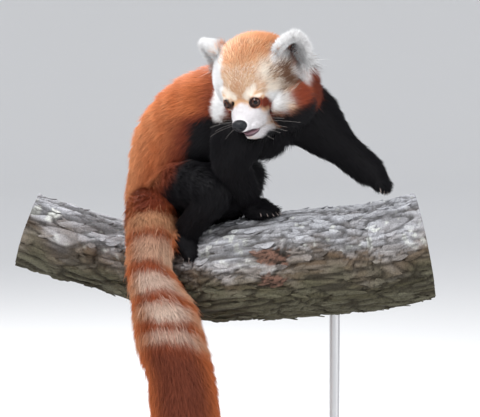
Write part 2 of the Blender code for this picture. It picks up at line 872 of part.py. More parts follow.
def main():
    """Builds every node and fits it to what carries it."""
    for thing in list(bpy.data.objects):
        bpy.data.objects.remove(thing)
    home = make_collection("red_panda")
    cutters = make_collection("cutters")

    branch = make_branch(home)
    base = make_base(home)
    rods = [make_rod("stand_rod_left", ROD_FEET[0], home)]
    rods.append(make_rod("stand_rod_right", ROD_FEET[1], home))
    torso = make_torso(home)
    neck = make_neck(home)
    head = make_head(home)
    eyes = make_eyes(home)
    tongue = make_tongue(home)
    nose = make_nose(home)
    ears = [make_ear("ear_left", 1, home), make_ear("ear_right", -1, home)]
    tail = make_tail(home)
    legs = [
        make_leg("foreleg_left", FORELEG_LEFT, home),
        make_leg("foreleg_right", FORELEG_RIGHT, home),
        make_leg("hindleg_left", HINDLEG_LEFT, home),
        make_leg("hindleg_right", HINDLEG_RIGHT, home),
    ]
    paws = [
        make_paw("forepaw_left", *FOREPAW_LEFT, home),
        make_paw("forepaw_right", *FOREPAW_RIGHT, home),
        make_paw("hindpaw_left", *HINDPAW_LEFT, home),
        make_paw("hindpaw_right", *HINDPAW_RIGHT, home),
    ]
    order = [branch, base, *rods, *eyes, tongue, nose, head, neck, torso, *ears, tail]
    order += legs + paws
    fit_together(order, cutters)

    grow_coats(head, neck, torso, tail, order, cutters)
    tail = part_tail(tail, home)

    dress([torso, neck, head], make_material("red_coat", RED, 0.85))
    dress(legs + paws, make_material("black_coat", BLACK, 0.8))
    dress(ears, make_material("white_coat", WHITE, 0.9))
    dress(tail, make_material("tail_coat", TAN, 0.85))
    dress([*eyes, nose], make_material("wet_black", BLACK, 0.1))
    dress([tongue], make_material("tongue", PINK, 0.4))
    dress([branch], make_material("bark", BARK, 0.9))
    dress([base, *rods], make_material("steel", STEEL, 0.4, 1.0))


main()
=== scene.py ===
"""The looks of a life-size red panda astride a cut length of branch, on a plain stand.

Metres, +Z up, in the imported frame's own axes. Left and right are the animal's own. The
flesh is one skin, a little inside the solids, and the coat over it is made of solid tufts
that follow the lie of the fur. Skin and coat take their colours from the same markings.
"""

from __future__ import annotations

import logging
import math
from dataclasses import dataclass, field
from enum import Enum

import bmesh
import bpy
import numpy as np
from mathutils import Matrix, Vector
from mathutils.kdtree import KDTree


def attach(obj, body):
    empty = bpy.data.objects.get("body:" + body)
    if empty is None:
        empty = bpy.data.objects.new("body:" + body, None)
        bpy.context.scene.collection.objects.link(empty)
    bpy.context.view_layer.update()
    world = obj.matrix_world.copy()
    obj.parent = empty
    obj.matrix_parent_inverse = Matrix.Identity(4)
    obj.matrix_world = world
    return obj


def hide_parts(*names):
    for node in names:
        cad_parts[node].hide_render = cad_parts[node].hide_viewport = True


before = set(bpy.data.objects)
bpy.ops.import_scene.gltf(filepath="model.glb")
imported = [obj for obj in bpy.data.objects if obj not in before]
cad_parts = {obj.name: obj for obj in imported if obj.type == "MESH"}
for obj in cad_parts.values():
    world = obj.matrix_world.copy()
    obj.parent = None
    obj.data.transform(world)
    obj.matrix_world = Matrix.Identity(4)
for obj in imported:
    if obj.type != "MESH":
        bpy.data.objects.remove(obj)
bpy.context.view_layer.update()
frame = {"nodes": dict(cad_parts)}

log = logging.getLogger("red_panda")

Point = tuple[float, float, float]
Station = tuple[float, float, float, float]

# The photograph's frame in pixels, and the scale at the world's origin plane.
PHOTO_WIDTH = 480
METRES_PER_PIXEL = 1.18e-3
CAMERA_DISTANCE = 2.6
CAMERA_ELEVATION = math.radians(5.0)
CAMERA_TARGET = Vector((0.0, 0.0, 0.44))
SENSOR_WIDTH = 36.0

# The forms of flesh, out to the tips of the coat, as the solids have them.
SPINE = (
    (-0.088, 0.020, 0.458, 0.050),
    (-0.075, 0.012, 0.481, 0.059),
    (-0.064, 0.000, 0.511, 0.064),
    (-0.041, -0.025, 0.541, 0.063),
    (-0.005, -0.055, 0.559, 0.058),
    (0.026, -0.072, 0.566, 0.050),
)
BELLY = ((-0.040, 0.000, 0.496), 0.056)
PAUNCH = ((-0.014, -0.034, 0.474), 0.046)
CHEST = ((0.024, -0.074, 0.548), 0.046)
NECK = (
    (0.020, -0.062, 0.566, 0.048),
    (0.041, -0.078, 0.575, 0.048),
    (0.046, -0.092, 0.582, 0.047),
    (0.033, -0.106, 0.585, 0.045),
)
FORELEG_LEFT = (
    (0.058, -0.056, 0.556, 0.040),
    (0.074, -0.056, 0.553, 0.040),
    (0.094, -0.060, 0.536, 0.032),
    (0.113, -0.066, 0.519, 0.0245),
    (0.132, -0.071, 0.503, 0.0220),
    (0.144, -0.074, 0.493, 0.0210),
)
FORELEG_RIGHT = (
    (0.004, -0.100, 0.546, 0.036),
    (-0.002, -0.110, 0.530, 0.033),
    (-0.009, -0.108, 0.507, 0.026),
    (-0.003, -0.092, 0.487, 0.0215),
    (0.008, -0.068, 0.464, 0.0175),
)
HINDLEG_RIGHT = (
    (-0.070, -0.018, 0.474, 0.042),
    (-0.056, -0.046, 0.474, 0.038),
    (-0.032, -0.076, 0.468, 0.029),
    (-0.044, -0.072, 0.446, 0.022),
    (-0.058, -0.060, 0.424, 0.018),
)
HINDLEG_LEFT = (
    (-0.074, 0.040, 0.464, 0.043),
    (-0.056, 0.060, 0.462, 0.039),
    (-0.026, 0.072, 0.460, 0.029),
    (-0.032, 0.062, 0.438, 0.022),
    (-0.034, 0.044, 0.420, 0.018),
)
TAIL = (
    (-0.090, 0.012, 0.446, 0.036),
    (-0.099, -0.018, 0.444, 0.035),
    (-0.103, -0.046, 0.430, 0.033),
    (-0.103, -0.064, 0.409, 0.0315),
    (-0.104, -0.075, 0.380, 0.0295),
    (-0.096, -0.083, 0.350, 0.0330),
    (-0.086, -0.090, 0.322, 0.0400),
    (-0.080, -0.095, 0.298, 0.0420),
    (-0.070, -0.100, 0.266, 0.0410),
    (-0.065, -0.104, 0.236, 0.0420),
    (-0.062, -0.106, 0.206, 0.0420),
    (-0.060, -0.105, 0.166, 0.0405),
    (-0.061, -0.100, 0.122, 0.0360),
    (-0.065, -0.093, 0.082, 0.0270),
    (-0.069, -0.086, 0.054, 0.0160),
)
PAWS = {
    "forepaw_left": ((0.151, -0.0755, 0.488), (0.62, -0.28, -0.74)),
    "forepaw_right": ((0.0185, -0.0560, 0.4450), (0.66, -0.74, -0.12)),
    "hindpaw_left": ((-0.030, 0.034, 0.406), (0.60, 0.30, -0.72)),
    "hindpaw_right": ((-0.0635, -0.0550, 0.4065), (0.52, -0.32, -0.78)),
}
PAW_RADII = (0.0195, 0.0240, 0.0140)
TOE_COUNT = 5
TOE_RADIUS = 0.0074
TOE_FAN = math.radians(62.0)
CLAW_LENGTH = 0.013
CLAW_RADIUS = 0.0020

# The head's own frame has +X to its left, -Y to its nose and +Z to its crown. A form on
# the head is given as (out to the side, forward, up).
HEAD_PLACE = (0.0246, -0.1250, 0.5794)
HEAD_YAW = math.radians(-31.0)
HEAD_PITCH = math.radians(21.0)
HEAD_ROLL = math.radians(-5.0)
CRANIUM = ((0.0, -0.001, 0.0195), (0.0500, 0.0490, 0.0490))
CHEEK = ((0.0315, 0.0080, -0.0095), (0.0265, 0.0280, 0.0270))
BROW = ((0.0150, 0.0300, 0.0180), (0.0180, 0.0180, 0.0150))
LIP = ((0.0090, 0.0400, -0.0165), (0.0105, 0.0150, 0.0095))
MUZZLE = (
    (0.0, 0.024, -0.0070, 0.0270),
    (0.0, 0.040, -0.0115, 0.0190),
    (0.0, 0.050, -0.0140, 0.0130),
)
JAW = (
    (0.0, 0.012, -0.0220, 0.0230),
    (0.0, 0.033, -0.0265, 0.0140),
    (0.0, 0.043, -0.0280, 0.0085),
)
EYE = ((0.0172, 0.0408, 0.0075), 0.0066)
EYE_GAZE = (0.50, 1.00, 0.10)
NOSE = ((0.0, 0.0590, -0.0135), (0.0088, 0.0064, 0.0070))
NOSTRIL = ((0.0037, 0.0648, -0.0145), (0.0018, 0.0030, 0.0014))
MOUTH = ((0.0, 0.0520, -0.0232), (0.0200, 0.0240, 0.0020))
TONGUE = ((0.0040, 0.0450, -0.0248), (0.0080, 0.0105, 0.0030))
EAR_BASE = (0.0440, -0.0040, 0.0350)
EAR_HEIGHT = 0.0370
EAR_HALF_WIDTH = 0.0215
EAR_CUP = 0.0140
EAR_THICKNESS = 0.0085
EAR_SPLAY = math.radians(30.0)
EAR_TURN = math.radians(38.0)

BRANCH = (
    (-0.254, 0.035, 0.412, 0.0440),
    (-0.197, 0.033, 0.394, 0.0450),
    (-0.141, 0.030, 0.378, 0.0465),
    (-0.089, 0.015, 0.367, 0.0510),
    (-0.041, -0.015, 0.365, 0.0570),
    (0.019, -0.045, 0.375, 0.0600),
    (0.087, -0.050, 0.382, 0.0615),
    (0.152, -0.050, 0.388, 0.0630),
    (0.214, -0.050, 0.400, 0.0635),
)

# How far the skin lies inside the solids, under long and short fur.
LONG_DEPTH = 0.0085
LEG_DEPTH = 0.0055
HEAD_DEPTH = 0.0035
PAW_DEPTH = 0.0025
EAR_DEPTH = 0.0030


def srgb(red: int, green: int, blue: int) -> np.ndarray:
    """A linear colour from a display colour of 0 to 255."""
    value = np.array((red, green, blue)) / 255.0
    return np.where(value <= 0.04045, value / 12.92, ((value + 0.055) / 1.055) ** 2.4)


class Part(Enum):
    """A length of the body that the coat treats in one way."""

    TORSO = 0
    NECK = 1
    FORELEG_LEFT = 2
    FORELEG_RIGHT = 3
    HINDLEG_LEFT = 4
    HINDLEG_RIGHT = 5
    TAIL = 6
    PAW = 7
    HEAD = 8
    EAR_LEFT = 9
    EAR_RIGHT = 10


def smooth_step(low: float, high: float, value: np.ndarray) -> np.ndarray:
    """A smooth rise from 0 at low to 1 at high."""
    share = np.clip((value - low) / (high - low), 0.0, 1.0)
    return share * share * (3.0 - 2.0 * share)


def unit(vectors: np.ndarray) -> np.ndarray:
    """The vectors at length 1."""
    return vectors / np.maximum(np.linalg.norm(vectors, axis=-1, keepdims=True), 1e-9)


def along_surface(vectors: np.ndarray, normals: np.ndarray) -> np.ndarray:
    """The vectors laid into the surface, at length 1."""
    return unit(vectors - normals * np.sum(vectors * normals, axis=1, keepdims=True))


def mixed(first: np.ndarray, second: np.ndarray, share: np.ndarray) -> np.ndarray:
    """Rows of colour that pass from the first to the second."""
    share = np.asarray(share)[:, None]
    return first * (1.0 - share) + second * share


class Waves:
    """Smooth noise over space, as a sum of seeded plane waves."""

    def __init__(self, size: float, seed: int, count: int = 24) -> None:
        """Draws the waves.

        Args:
            size: The size of a patch, in metres.
            seed: The draw's seed.
            count: How many waves are summed.
        """
        draw = np.random.default_rng(seed)
        self.ways = unit(draw.normal(size=(count, 3)))
        self.ways *= 2.0 * math.pi / (size * draw.uniform(0.6, 1.8, (count, 1)))
        self.phases = draw.uniform(0.0, 2.0 * math.pi, count)

    def at(self, places: np.ndarray) -> np.ndarray:
        """The noise, mostly from -1 to 1, at each place."""
        waves = np.sin(places @ self.ways.T + self.phases)
        return waves.sum(axis=1) / math.sqrt(len(self.phases))


def link(name: str, mesh: bpy.types.Mesh) -> bpy.types.Object:
    """An object for the mesh, linked to the scene."""
    made = bpy.data.objects.new(name, mesh)
    bpy.context.scene.collection.objects.link(made)
    return made


def mesh_of(name: str, shape: bmesh.types.BMesh) -> bpy.types.Mesh:
    """A mesh from a bmesh, which is freed."""
    mesh = bpy.data.meshes.new(name)
    shape.to_mesh(mesh)
    shape.free()
    return mesh


def evaluated(thing: bpy.types.Object) -> bpy.types.Mesh:
    """A mesh of the object with its modifiers applied."""
    bpy.context.view_layer.update()
    graph = bpy.context.evaluated_depsgraph_get()
    return bpy.data.meshes.new_from_object(thing.evaluated_get(graph))


def settle(thing: bpy.types.Object) -> None:
    """Applies the object's modifiers."""
    mesh = evaluated(thing)
    thing.modifiers.clear()
    thing.data = mesh


def points_of(mesh: bpy.types.Mesh) -> np.ndarray:
    """The mesh's vertices as rows."""
    flat = np.empty(len(mesh.vertices) * 3)
    mesh.vertices.foreach_get("co", flat)
    return flat.reshape(-1, 3)


def set_points(mesh: bpy.types.Mesh, places: np.ndarray) -> None:
    """Moves the mesh's vertices to the rows."""
    mesh.vertices.foreach_set("co", places.ravel())
    mesh.update()


def normals_of(mesh: bpy.types.Mesh) -> np.ndarray:
    """The mesh's vertex normals as rows."""
    flat = np.empty(len(mesh.vertices) * 3)
    mesh.vertex_normals.foreach_get("vector", flat)
    return flat.reshape(-1, 3)


def set_colours(mesh: bpy.types.Mesh, name: str, colours: np.ndarray) -> None:
    """Stores one linear colour for each vertex."""
    layer = mesh.color_attributes.new(name, "FLOAT_COLOR", "POINT")
    full = np.ones((len(colours), 4), np.float32)
    full[:, :3] = np.clip(colours, 0.0, 1.0)
    layer.data.foreach_set("color", full.ravel())


def smooth_between(values: np.ndarray, share: float) -> np.ndarray:
    """A Catmull-Rom point between the second and third of four rows."""
    before, low, high, after = values
    bend = (2 * before - 5 * low + 4 * high - after) * share ** 2
    bend += (3 * low - before - 3 * high + after) * share ** 3
    return 0.5 * (2 * low + (high - before) * share + bend)


def through(stations: tuple[Station, ...], per_span: int) -> np.ndarray:
    """Rows (x, y, z, radius) on a smooth curve through the stations."""
    ends = np.array([stations[0], *stations, stations[-1]])
    rows = [
        smooth_between(ends[span : span + 4], step / per_span)
        for span in range(len(stations) - 1)
        for step in range(per_span)
    ]
    return np.array([*rows, stations[-1]])


def tube(stations: tuple[Station, ...], depth: float = 0.0, sides: int = 24) -> bpy.types.Mesh:
    """A closed round-ended form along the stations.

    Args:
        stations: Points with the form's radius at each.
        depth: How much every radius is cut back.
        sides: The number of sides.

    Returns:
        The form's mesh.
    """
    rows = through(stations, 5)
    shape = bmesh.new()
    for x, y, z, radius in rows[::2]:
        place = Matrix.Translation((x, y, z))
        size = max(radius - depth, 0.001)
        bmesh.ops.create_uvsphere(
            shape, u_segments=sides, v_segments=sides // 2, radius=size, matrix=place
        )
    return mesh_of("form", shape)


def ball(centre: Point, radii: Point, depth: float = 0.0) -> bpy.types.Mesh:
    """An ellipsoid whose radii are cut back by the depth."""
    size = [max(radius - depth, 0.0008) for radius in radii]
    place = Matrix.Translation(centre) @ Matrix.Diagonal((*size, 1.0))
    shape = bmesh.new()
    bmesh.ops.create_icosphere(shape, subdivisions=4, radius=1.0, matrix=place)
    return mesh_of("form", shape)


def melt_together(
    name: str, meshes: list[bpy.types.Mesh], voxel: float, rounds: int
) -> bpy.types.Object:
    """One smooth closed body of overlapping forms.

    Args:
        name: The body's name.
        meshes: The forms.
        voxel: The size of the faces, in metres.
        rounds: How many times the surface is smoothed.

    Returns:
        The body's object.
    """
    shape = bmesh.new()
    for mesh in meshes:
        shape.from_mesh(mesh)
        bpy.data.meshes.remove(mesh)
    thing = link(name, mesh_of(name, shape))
    melt = thing.modifiers.new("melt", "REMESH")
    melt.mode = "VOXEL"
    melt.voxel_size = voxel
    soften = thing.modifiers.new("soften", "SMOOTH")
    soften.factor = 0.5
    soften.iterations = rounds
    settle(thing)
    return thing


def head_frame() -> Matrix:
    """The matrix from the head's own frame to the world."""
    turn = Matrix.Rotation(HEAD_YAW, 4, "Z") @ Matrix.Rotation(HEAD_PITCH, 4, "X")
    return Matrix.Translation(HEAD_PLACE) @ turn @ Matrix.Rotation(HEAD_ROLL, 4, "Y")


def face(point: Point, side: int = 1) -> Vector:
    """A point given as (out to the side, forward, up), in the head's frame."""
    return Vector((side * point[0], -point[1], point[2]))


def ear_frame(side: int) -> Matrix:
    """The matrix from an ear's own frame to the world."""
    splay = Matrix.Rotation(side * EAR_SPLAY, 4, "Y")
    turn = Matrix.Rotation(side * EAR_TURN, 4, "Z")
    return head_frame() @ Matrix.Translation(face(EAR_BASE, side)) @ splay @ turn


def moved(places: np.ndarray, matrix: Matrix) -> np.ndarray:
    """Rows of points taken through the matrix."""
    full = np.array(matrix)
    return places @ full[:3, :3].T + full[:3, 3]


class Line:
    """A chain's centre line, with a steady frame along it."""

    def __init__(self, stations: tuple[Station, ...], flow: float, per_span: int = 8) -> None:
        """Reads the line.

        Args:
            stations: Points with the form's radius at each.
            flow: 1 where the fur lies along the line's way, -1 where it lies back.
            per_span: How many steps the line takes from one station to the next.
        """
        rows = through(stations, per_span)
        self.places = rows[:, :3]
        self.radii = rows[:, 3]
        self.ways = unit(np.gradient(self.places, axis=0))
        self.flow = flow
        self.firsts = np.empty_like(self.ways)
        first = np.array((0.0, -1.0, 0.0))
        if abs(self.ways[0] @ first) > 0.8:
            first = np.array((-1.0, 0.0, 0.0))
        for row, way in enumerate(self.ways):
            first = unit(first - way * (first @ way))
            self.firsts[row] = first
        self.seconds = np.cross(self.ways, self.firsts)

    def nearest(self, places: np.ndarray) -> tuple[np.ndarray, np.ndarray]:
        """The closest row of the line by how far inside its form a place lies.

        Args:
            places: Rows of points.

        Returns:
            For each place the row's number, and its depth inside as a negative distance.
        """
        gaps = np.linalg.norm(places[:, None, :] - self.places[None], axis=2) - self.radii
        row = gaps.argmin(axis=1)
        return row, gaps[np.arange(len(places)), row]


@dataclass
class Roots:
    """Where tufts or skin points lie on the body, and what they belong to."""

    places: np.ndarray
    normals: np.ndarray
    parts: np.ndarray
    rows: np.ndarray
    along: np.ndarray
    around: np.ndarray
    head: np.ndarray

    def of(self, keep: np.ndarray) -> "Roots":
        """The roots where keep is true."""
        return Roots(*(getattr(self, name)[keep] for name in self.__dataclass_fields__))


class Body:
    """The animal's forms, and which of them any place on the skin belongs to."""

    CHAINS = {
        Part.TORSO: (SPINE, -1.0),
        Part.NECK: (NECK, -1.0),
        Part.FORELEG_LEFT: (FORELEG_LEFT, 1.0),
        Part.FORELEG_RIGHT: (FORELEG_RIGHT, 1.0),
        Part.HINDLEG_LEFT: (HINDLEG_LEFT, 1.0),
        Part.HINDLEG_RIGHT: (HINDLEG_RIGHT, 1.0),
        Part.TAIL: (TAIL, 1.0),
    }

    def __init__(self) -> None:
        """Reads every chain's line."""
        self.lines = {part: Line(*chain) for part, chain in self.CHAINS.items()}

    def locate(self, places: np.ndarray, normals: np.ndarray) -> Roots:
        """Finds each place's part, and where on that part it lies.

        Args:
            places: Rows of points on the skin.
            normals: The skin's normal at each.

        Returns:
            The places with their parts.
        """
        count = len(places)
        best = np.full(count, 1.0)
        parts = np.zeros(count, int)
        rows = np.zeros(count, int)
        along = np.zeros(count)
        around = np.zeros(count)
        for part, line in self.lines.items():
            row, gap = line.nearest(places)
            closer = gap < best
            spoke = places - line.places[row]
            turn = np.arctan2(
                np.sum(spoke * line.seconds[row], axis=1), np.sum(spoke * line.firsts[row], axis=1)
            )
            best = np.where(closer, gap, best)
            parts[closer] = part.value
            rows[closer] = row[closer]
            along[closer] = row[closer] / (len(line.radii) - 1)
            around[closer] = turn[closer]
        for centre, toes in PAWS.values():
            gap = np.linalg.norm(places - np.array(centre), axis=1) - 0.021
            closer = gap < best
            best = np.where(closer, gap, best)
            parts[closer] = Part.PAW.value
        head = moved(places, head_frame().inverted())
        head[:, 1] *= -1.0
        for (centre, radii), grown in (
            (CRANIUM, 0.002), (CHEEK, 0.003), (((0.0, 0.045, -0.018), (0.024, 0.030, 0.022)), 0.0)
        ):
            folded = head.copy()
            folded[:, 0] = np.abs(folded[:, 0])
            share = np.linalg.norm((folded - np.array(centre)) / np.array(radii), axis=1)
            gap = (share - 1.0) * min(radii) - grown
            closer = gap < best
            best = np.where(closer, gap, best)
            parts[closer] = Part.HEAD.value
        for side, part in ((1, Part.EAR_LEFT), (-1, Part.EAR_RIGHT)):
            ear = moved(places, ear_frame(side).inverted())
            inside = (ear[:, 2] > 0.003) & (np.abs(ear[:, 0]) < EAR_HALF_WIDTH + 0.004)
            inside &= (ear[:, 1] > -0.008) & (ear[:, 1] < EAR_CUP + 0.008)
            inside &= ear[:, 2] < EAR_HEIGHT + 0.006
            skull = (head - np.array(CRANIUM[0])) / np.array(CRANIUM[1])
            inside &= np.linalg.norm(skull, axis=1) > 1.0
            parts[inside] = part.value
        return Roots(places, normals, parts, rows, along, around, head)


class Markings:
    """The colours of the coat, by where on the body they lie."""

    RED = srgb(188, 104, 62)
    RED_LIT = srgb(204, 132, 90)
    # A deep red-brown: the fur's own colour at the backs of the ears, and painted shade on the flank, the
    # nape and the root of the tail.
    RED_DEEP = srgb(112, 48, 32)
    BLACK = srgb(19, 18, 21)
    TAN = srgb(218, 178, 142)
    BROW_TAN = srgb(198, 150, 112)
    CREAM = srgb(238, 224, 208)
    WHITE = srgb(244, 243, 243)
    ASH = srgb(206, 199, 194)
    SNOW = srgb(226, 222, 224)
    TICK = srgb(112, 82, 64)
    ORANGE = srgb(218, 150, 106)
    RUSSET = srgb(168, 98, 62)
    GOLD = srgb(232, 190, 150)
    TEAR = srgb(112, 48, 34)
    LID = srgb(146, 84, 56)
    DARK = srgb(46, 32, 30)
    LIP = srgb(92, 72, 80)
    GREY = srgb(62, 63, 67)
    HOLLOW = srgb(34, 34, 37)
    BAND_LIGHT = srgb(222, 196, 178)
    # A warmer tan: the own colour of some bands, and painted shade on the sides of the tail.
    BAND_WARM_AND_SHADE = srgb(214, 166, 126)
    BAND_DARK = srgb(146, 70, 40)
    TAIL_RED = srgb(120, 62, 44)
    TAIL_EDGE = srgb(198, 108, 62)
    NECK_RED = srgb(142, 66, 44)

    DORSAL = np.array((-0.75, 0.35, 0.55))
    # The half angle of the red saddle at stations along the spine, in degrees.
    SADDLE = ((0.0, 0.45, 0.62, 0.72, 1.0), (128.0, 118.0, 104.0, 85.0, 88.0))

    # Light bands of the tail: the height of the top and the foot of each, in front, and
    # how warm its colour is.
    BANDS = (
        (0.4400, 0.4160, 1.0), (0.4110, 0.3850, 0.5), (0.3740, 0.3520, 0.0),
        (0.3420, 0.3200, 0.0), (0.3110, 0.2930, 0.0),
        (0.1990, 0.1740, 0.5), (0.1440, 0.1200, 0.5),
    )
    BAND_SAG = 0.020

    # Where the black of the flank begins on the near side: x at heights of z. Above the
    # nape's foot it lies past the shoulder, so the neck is red.
    FLANK = (
        (0.430, 0.449, 0.473, 0.502, 0.545, 0.554, 0.564, 0.700),
        (-0.104, -0.096, -0.079, -0.066, -0.056, -0.030, 0.090, 0.082),
    )
    NAPE_FOOT = 0.563
    # Where the white band at the margin of the right cheek begins: out at heights of up.
    MARGIN = ((-0.020, -0.005, 0.006, 0.020, 0.050), (0.040, 0.036, 0.030, 0.021, 0.022))

    # Dabs on the face: the centre and the radii as (out, forward, up), the colour, how
    # soft the edge is, and on which sides the dab lies: 0 is both.
    DABS = (
        ((0.000, 0.000, 0.070), (0.056, 0.060, 0.026), ORANGE, 0.55, 0),
        ((0.031, 0.030, 0.040), (0.006, 0.014, 0.014), CREAM, 0.80, 0),
        ((0.042, 0.004, 0.045), (0.012, 0.016, 0.013), WHITE, 0.35, 0),
        ((0.048, -0.010, 0.044), (0.008, 0.015, 0.0095), GREY, 0.35, 0),
        ((0.050, 0.006, 0.026), (0.015, 0.022, 0.021), TICK, 0.55, 0),
        ((0.037, 0.029, 0.017), (0.008, 0.012, 0.009), CREAM, 0.50, 0),
        ((0.000, 0.044, 0.024), (0.0080, 0.016, 0.0180), BROW_TAN, 0.60, 0),
        ((0.000, 0.052, -0.004), (0.0135, 0.018, 0.0125), SNOW, 0.25, 0),
        ((0.014, 0.044, -0.014), (0.0150, 0.018, 0.0105), SNOW, 0.25, 0),
        ((0.0135, 0.046, -0.0040), (0.0080, 0.010, 0.0060), SNOW, 0.30, 0),
        ((0.008, 0.056, -0.017), (0.0100, 0.010, 0.0065), SNOW, 0.30, 0),
        ((0.008, 0.032, -0.031), (0.0150, 0.018, 0.0100), SNOW, 0.30, 0),
        ((0.041, 0.030, 0.001), (0.0140, 0.016, 0.0135), ASH, 0.25, 0),
        ((0.036, 0.034, 0.004), (0.0080, 0.014, 0.0110), WHITE, 0.40, 0),
        ((0.0190, 0.044, 0.0070), (0.0086, 0.008, 0.0070), LID, 0.30, 0),
        ((0.0172, 0.045, 0.0078), (0.0072, 0.008, 0.0062), DARK, 0.25, 0),
        ((0.0268, 0.036, -0.0045), (0.0066, 0.010, 0.0080), TEAR, 0.25, -1),
        ((0.0268, 0.0375, 0.0010), (0.0076, 0.010, 0.0080), TEAR, 0.25, 0),
        ((0.0270, 0.0345, -0.0130), (0.0034, 0.008, 0.0062), DARK, 0.40, 0),
        ((0.0085, 0.0470, 0.0150), (0.0045, 0.008, 0.0055), CREAM, 0.40, 0),
        ((0.0140, 0.0465, 0.0200), (0.0052, 0.008, 0.0052), CREAM, 0.40, 0),
        ((0.0190, 0.0440, 0.0245), (0.0040, 0.008, 0.0045), CREAM, 0.50, 0),
        ((0.0240, 0.0430, 0.0148), (0.0052, 0.008, 0.0022), CREAM, 0.40, 0),
        ((0.0560, -0.008, 0.0250), (0.0110, 0.011, 0.0100), WHITE, 0.30, 0),
    )
    # The lower lip and the inside of the mouth, bare of fur.
    LIPS = ((0.0050, 0.0500, -0.0258), (0.0125, 0.0130, 0.0052))

    def __init__(self, body: Body) -> None:
        """Keeps the body, and draws the noise that breaks the edges."""
        self.body = body
        self.broad = Waves(0.060, 11)
        self.fine = Waves(0.009, 12)

    def colours(self, roots: Roots) -> np.ndarray:
        """The coat's colour at each root."""
        found = np.tile(self.BLACK, (len(roots.places), 1))
        trunk = np.isin(roots.parts, (Part.TORSO.value, Part.NECK.value))
        thigh = np.isin(roots.parts, (Part.HINDLEG_LEFT.value, Part.HINDLEG_RIGHT.value))
        saddle = self.saddle(roots)
        shoulder = np.isin(roots.parts, (Part.FORELEG_LEFT.value, Part.FORELEG_RIGHT.value))
        for keep in (trunk, thigh & (roots.along < 0.5), shoulder & (roots.along < 0.3)):
            found[keep] = saddle[keep]
        shank = smooth_step(0.10, 0.34, roots.along + 0.03 * self.fine.at(roots.places))
        shank *= smooth_step(0.0, 0.010, roots.places[:, 1]) * thigh
        found = mixed(found, self.BLACK, shank)
        tail = roots.parts == Part.TAIL.value
        found[tail] = self.tail(roots)[tail]
        head = roots.parts == Part.HEAD.value
        found[head] = self.head(roots)[head]
        for side, part in ((1, Part.EAR_LEFT), (-1, Part.EAR_RIGHT)):
            ear = roots.parts == part.value
            found[ear] = self.ear(roots.places[ear], side)
        return found

    def saddle(self, roots: Roots) -> np.ndarray:
        """Red over the back and flanks, black on the belly."""
        line = self.body.lines[Part.TORSO]
        row = line.nearest(roots.places)[0]
        spoke = roots.places - line.places[row]
        way = line.ways[row]
        spoke = unit(spoke - way * np.sum(spoke * way, axis=1, keepdims=True))
        dorsal = along_surface(np.tile(self.DORSAL, (len(row), 1)), way)
        angle = np.degrees(np.arccos(np.clip(np.sum(spoke * dorsal, axis=1), -1.0, 1.0)))
        share = row / (len(line.radii) - 1)
        limit = np.interp(share, *self.SADDLE) + 5.0 * self.broad.at(roots.places)
        edge = 4.0 * self.fine.at(roots.places)
        across, depth, height = roots.places.T
        black = smooth_step(-7.0, 7.0, angle - limit + edge)
        near = smooth_step(0.030, -0.005, depth)
        flank = across - np.interp(height, *self.FLANK) + edge * 0.0006
        black = black * (1.0 - near) + near * smooth_step(-0.006, 0.006, flank)
        # Painted light: the red is lightened in broad patches and on fur that faces -x, the side where the
        # key light falls.
        lit = smooth_step(-0.6, 1.6, self.broad.at(roots.places)) * 0.35
        lit = np.maximum(lit, smooth_step(0.55, 0.98, -roots.normals[:, 0]))
        red = mixed(np.tile(self.RED, (len(row), 1)), self.RED_LIT, lit)
        # Painted shade: the red deepens towards the black, and on the near flank above the rump and at the
        # front of the nape; this stands for shade there as well as the fur's own deeper red.
        deep_and_shade = smooth_step(-45.0, -4.0, angle - limit) * (1.0 - near) * 0.75
        deep_and_shade = np.maximum(deep_and_shade, near * smooth_step(-0.036, -0.004, flank) * 0.95)
        nape = height - self.NAPE_FOOT + edge * 0.0005
        front = near * smooth_step(-0.060, -0.030, across)
        deep_and_shade = np.maximum(deep_and_shade, front * (0.35 + 0.6 * smooth_step(0.040, 0.004, nape)))
        red = mixed(red, self.RED_DEEP, deep_and_shade)
        return mixed(red, self.BLACK, black)

    def tail(self, roots: Roots) -> np.ndarray:
        """Rings of pale and red-brown fur that sag at the sides."""
        line = self.body.lines[Part.TAIL]
        spoke = unit(roots.places - line.places[roots.rows])
        front = np.clip(-spoke[:, 1], -1.0, 1.0)
        height = roots.places[:, 2] + self.BAND_SAG * (1.0 - front)
        height += 0.0022 * self.fine.at(roots.places) + 0.003 * self.broad.at(roots.places)
        light = np.zeros(len(height))
        warm_and_shade = np.zeros(len(height))
        for top, foot, warmth in self.BANDS:
            band = smooth_step(foot - 0.001, foot + 0.004, height)
            band *= 1.0 - smooth_step(top - 0.004, top + 0.001, height)
            warm_and_shade = np.where(band > light, warmth, warm_and_shade)
            light = np.maximum(light, band)
        # Painted shade: the light bands are darkened and warmed at the sides and back of the tail, where it
        # turns from the light.
        side_shade = np.maximum(
            smooth_step(0.20, 0.80, -spoke[:, 0]), 0.7 * smooth_step(0.60, 0.95, spoke[:, 0])
        )
        side_shade = np.maximum(side_shade, smooth_step(0.0, 0.4, spoke[:, 1]))
        light *= 1.0 - 0.42 * side_shade
        warm_and_shade = np.maximum(warm_and_shade, side_shade)
        light *= 0.80 + 0.20 * self.broad.at(roots.places)
        root = smooth_step(0.432, 0.446, roots.places[:, 2])
        light *= 1.0 - root
        upper = smooth_step(0.275, 0.300, height)
        dark = mixed(np.tile(self.TAIL_RED, (len(height), 1)), self.BAND_DARK, upper)
        dark = mixed(dark, self.TAIL_EDGE, 0.80 * smooth_step(0.90, 0.35, front))
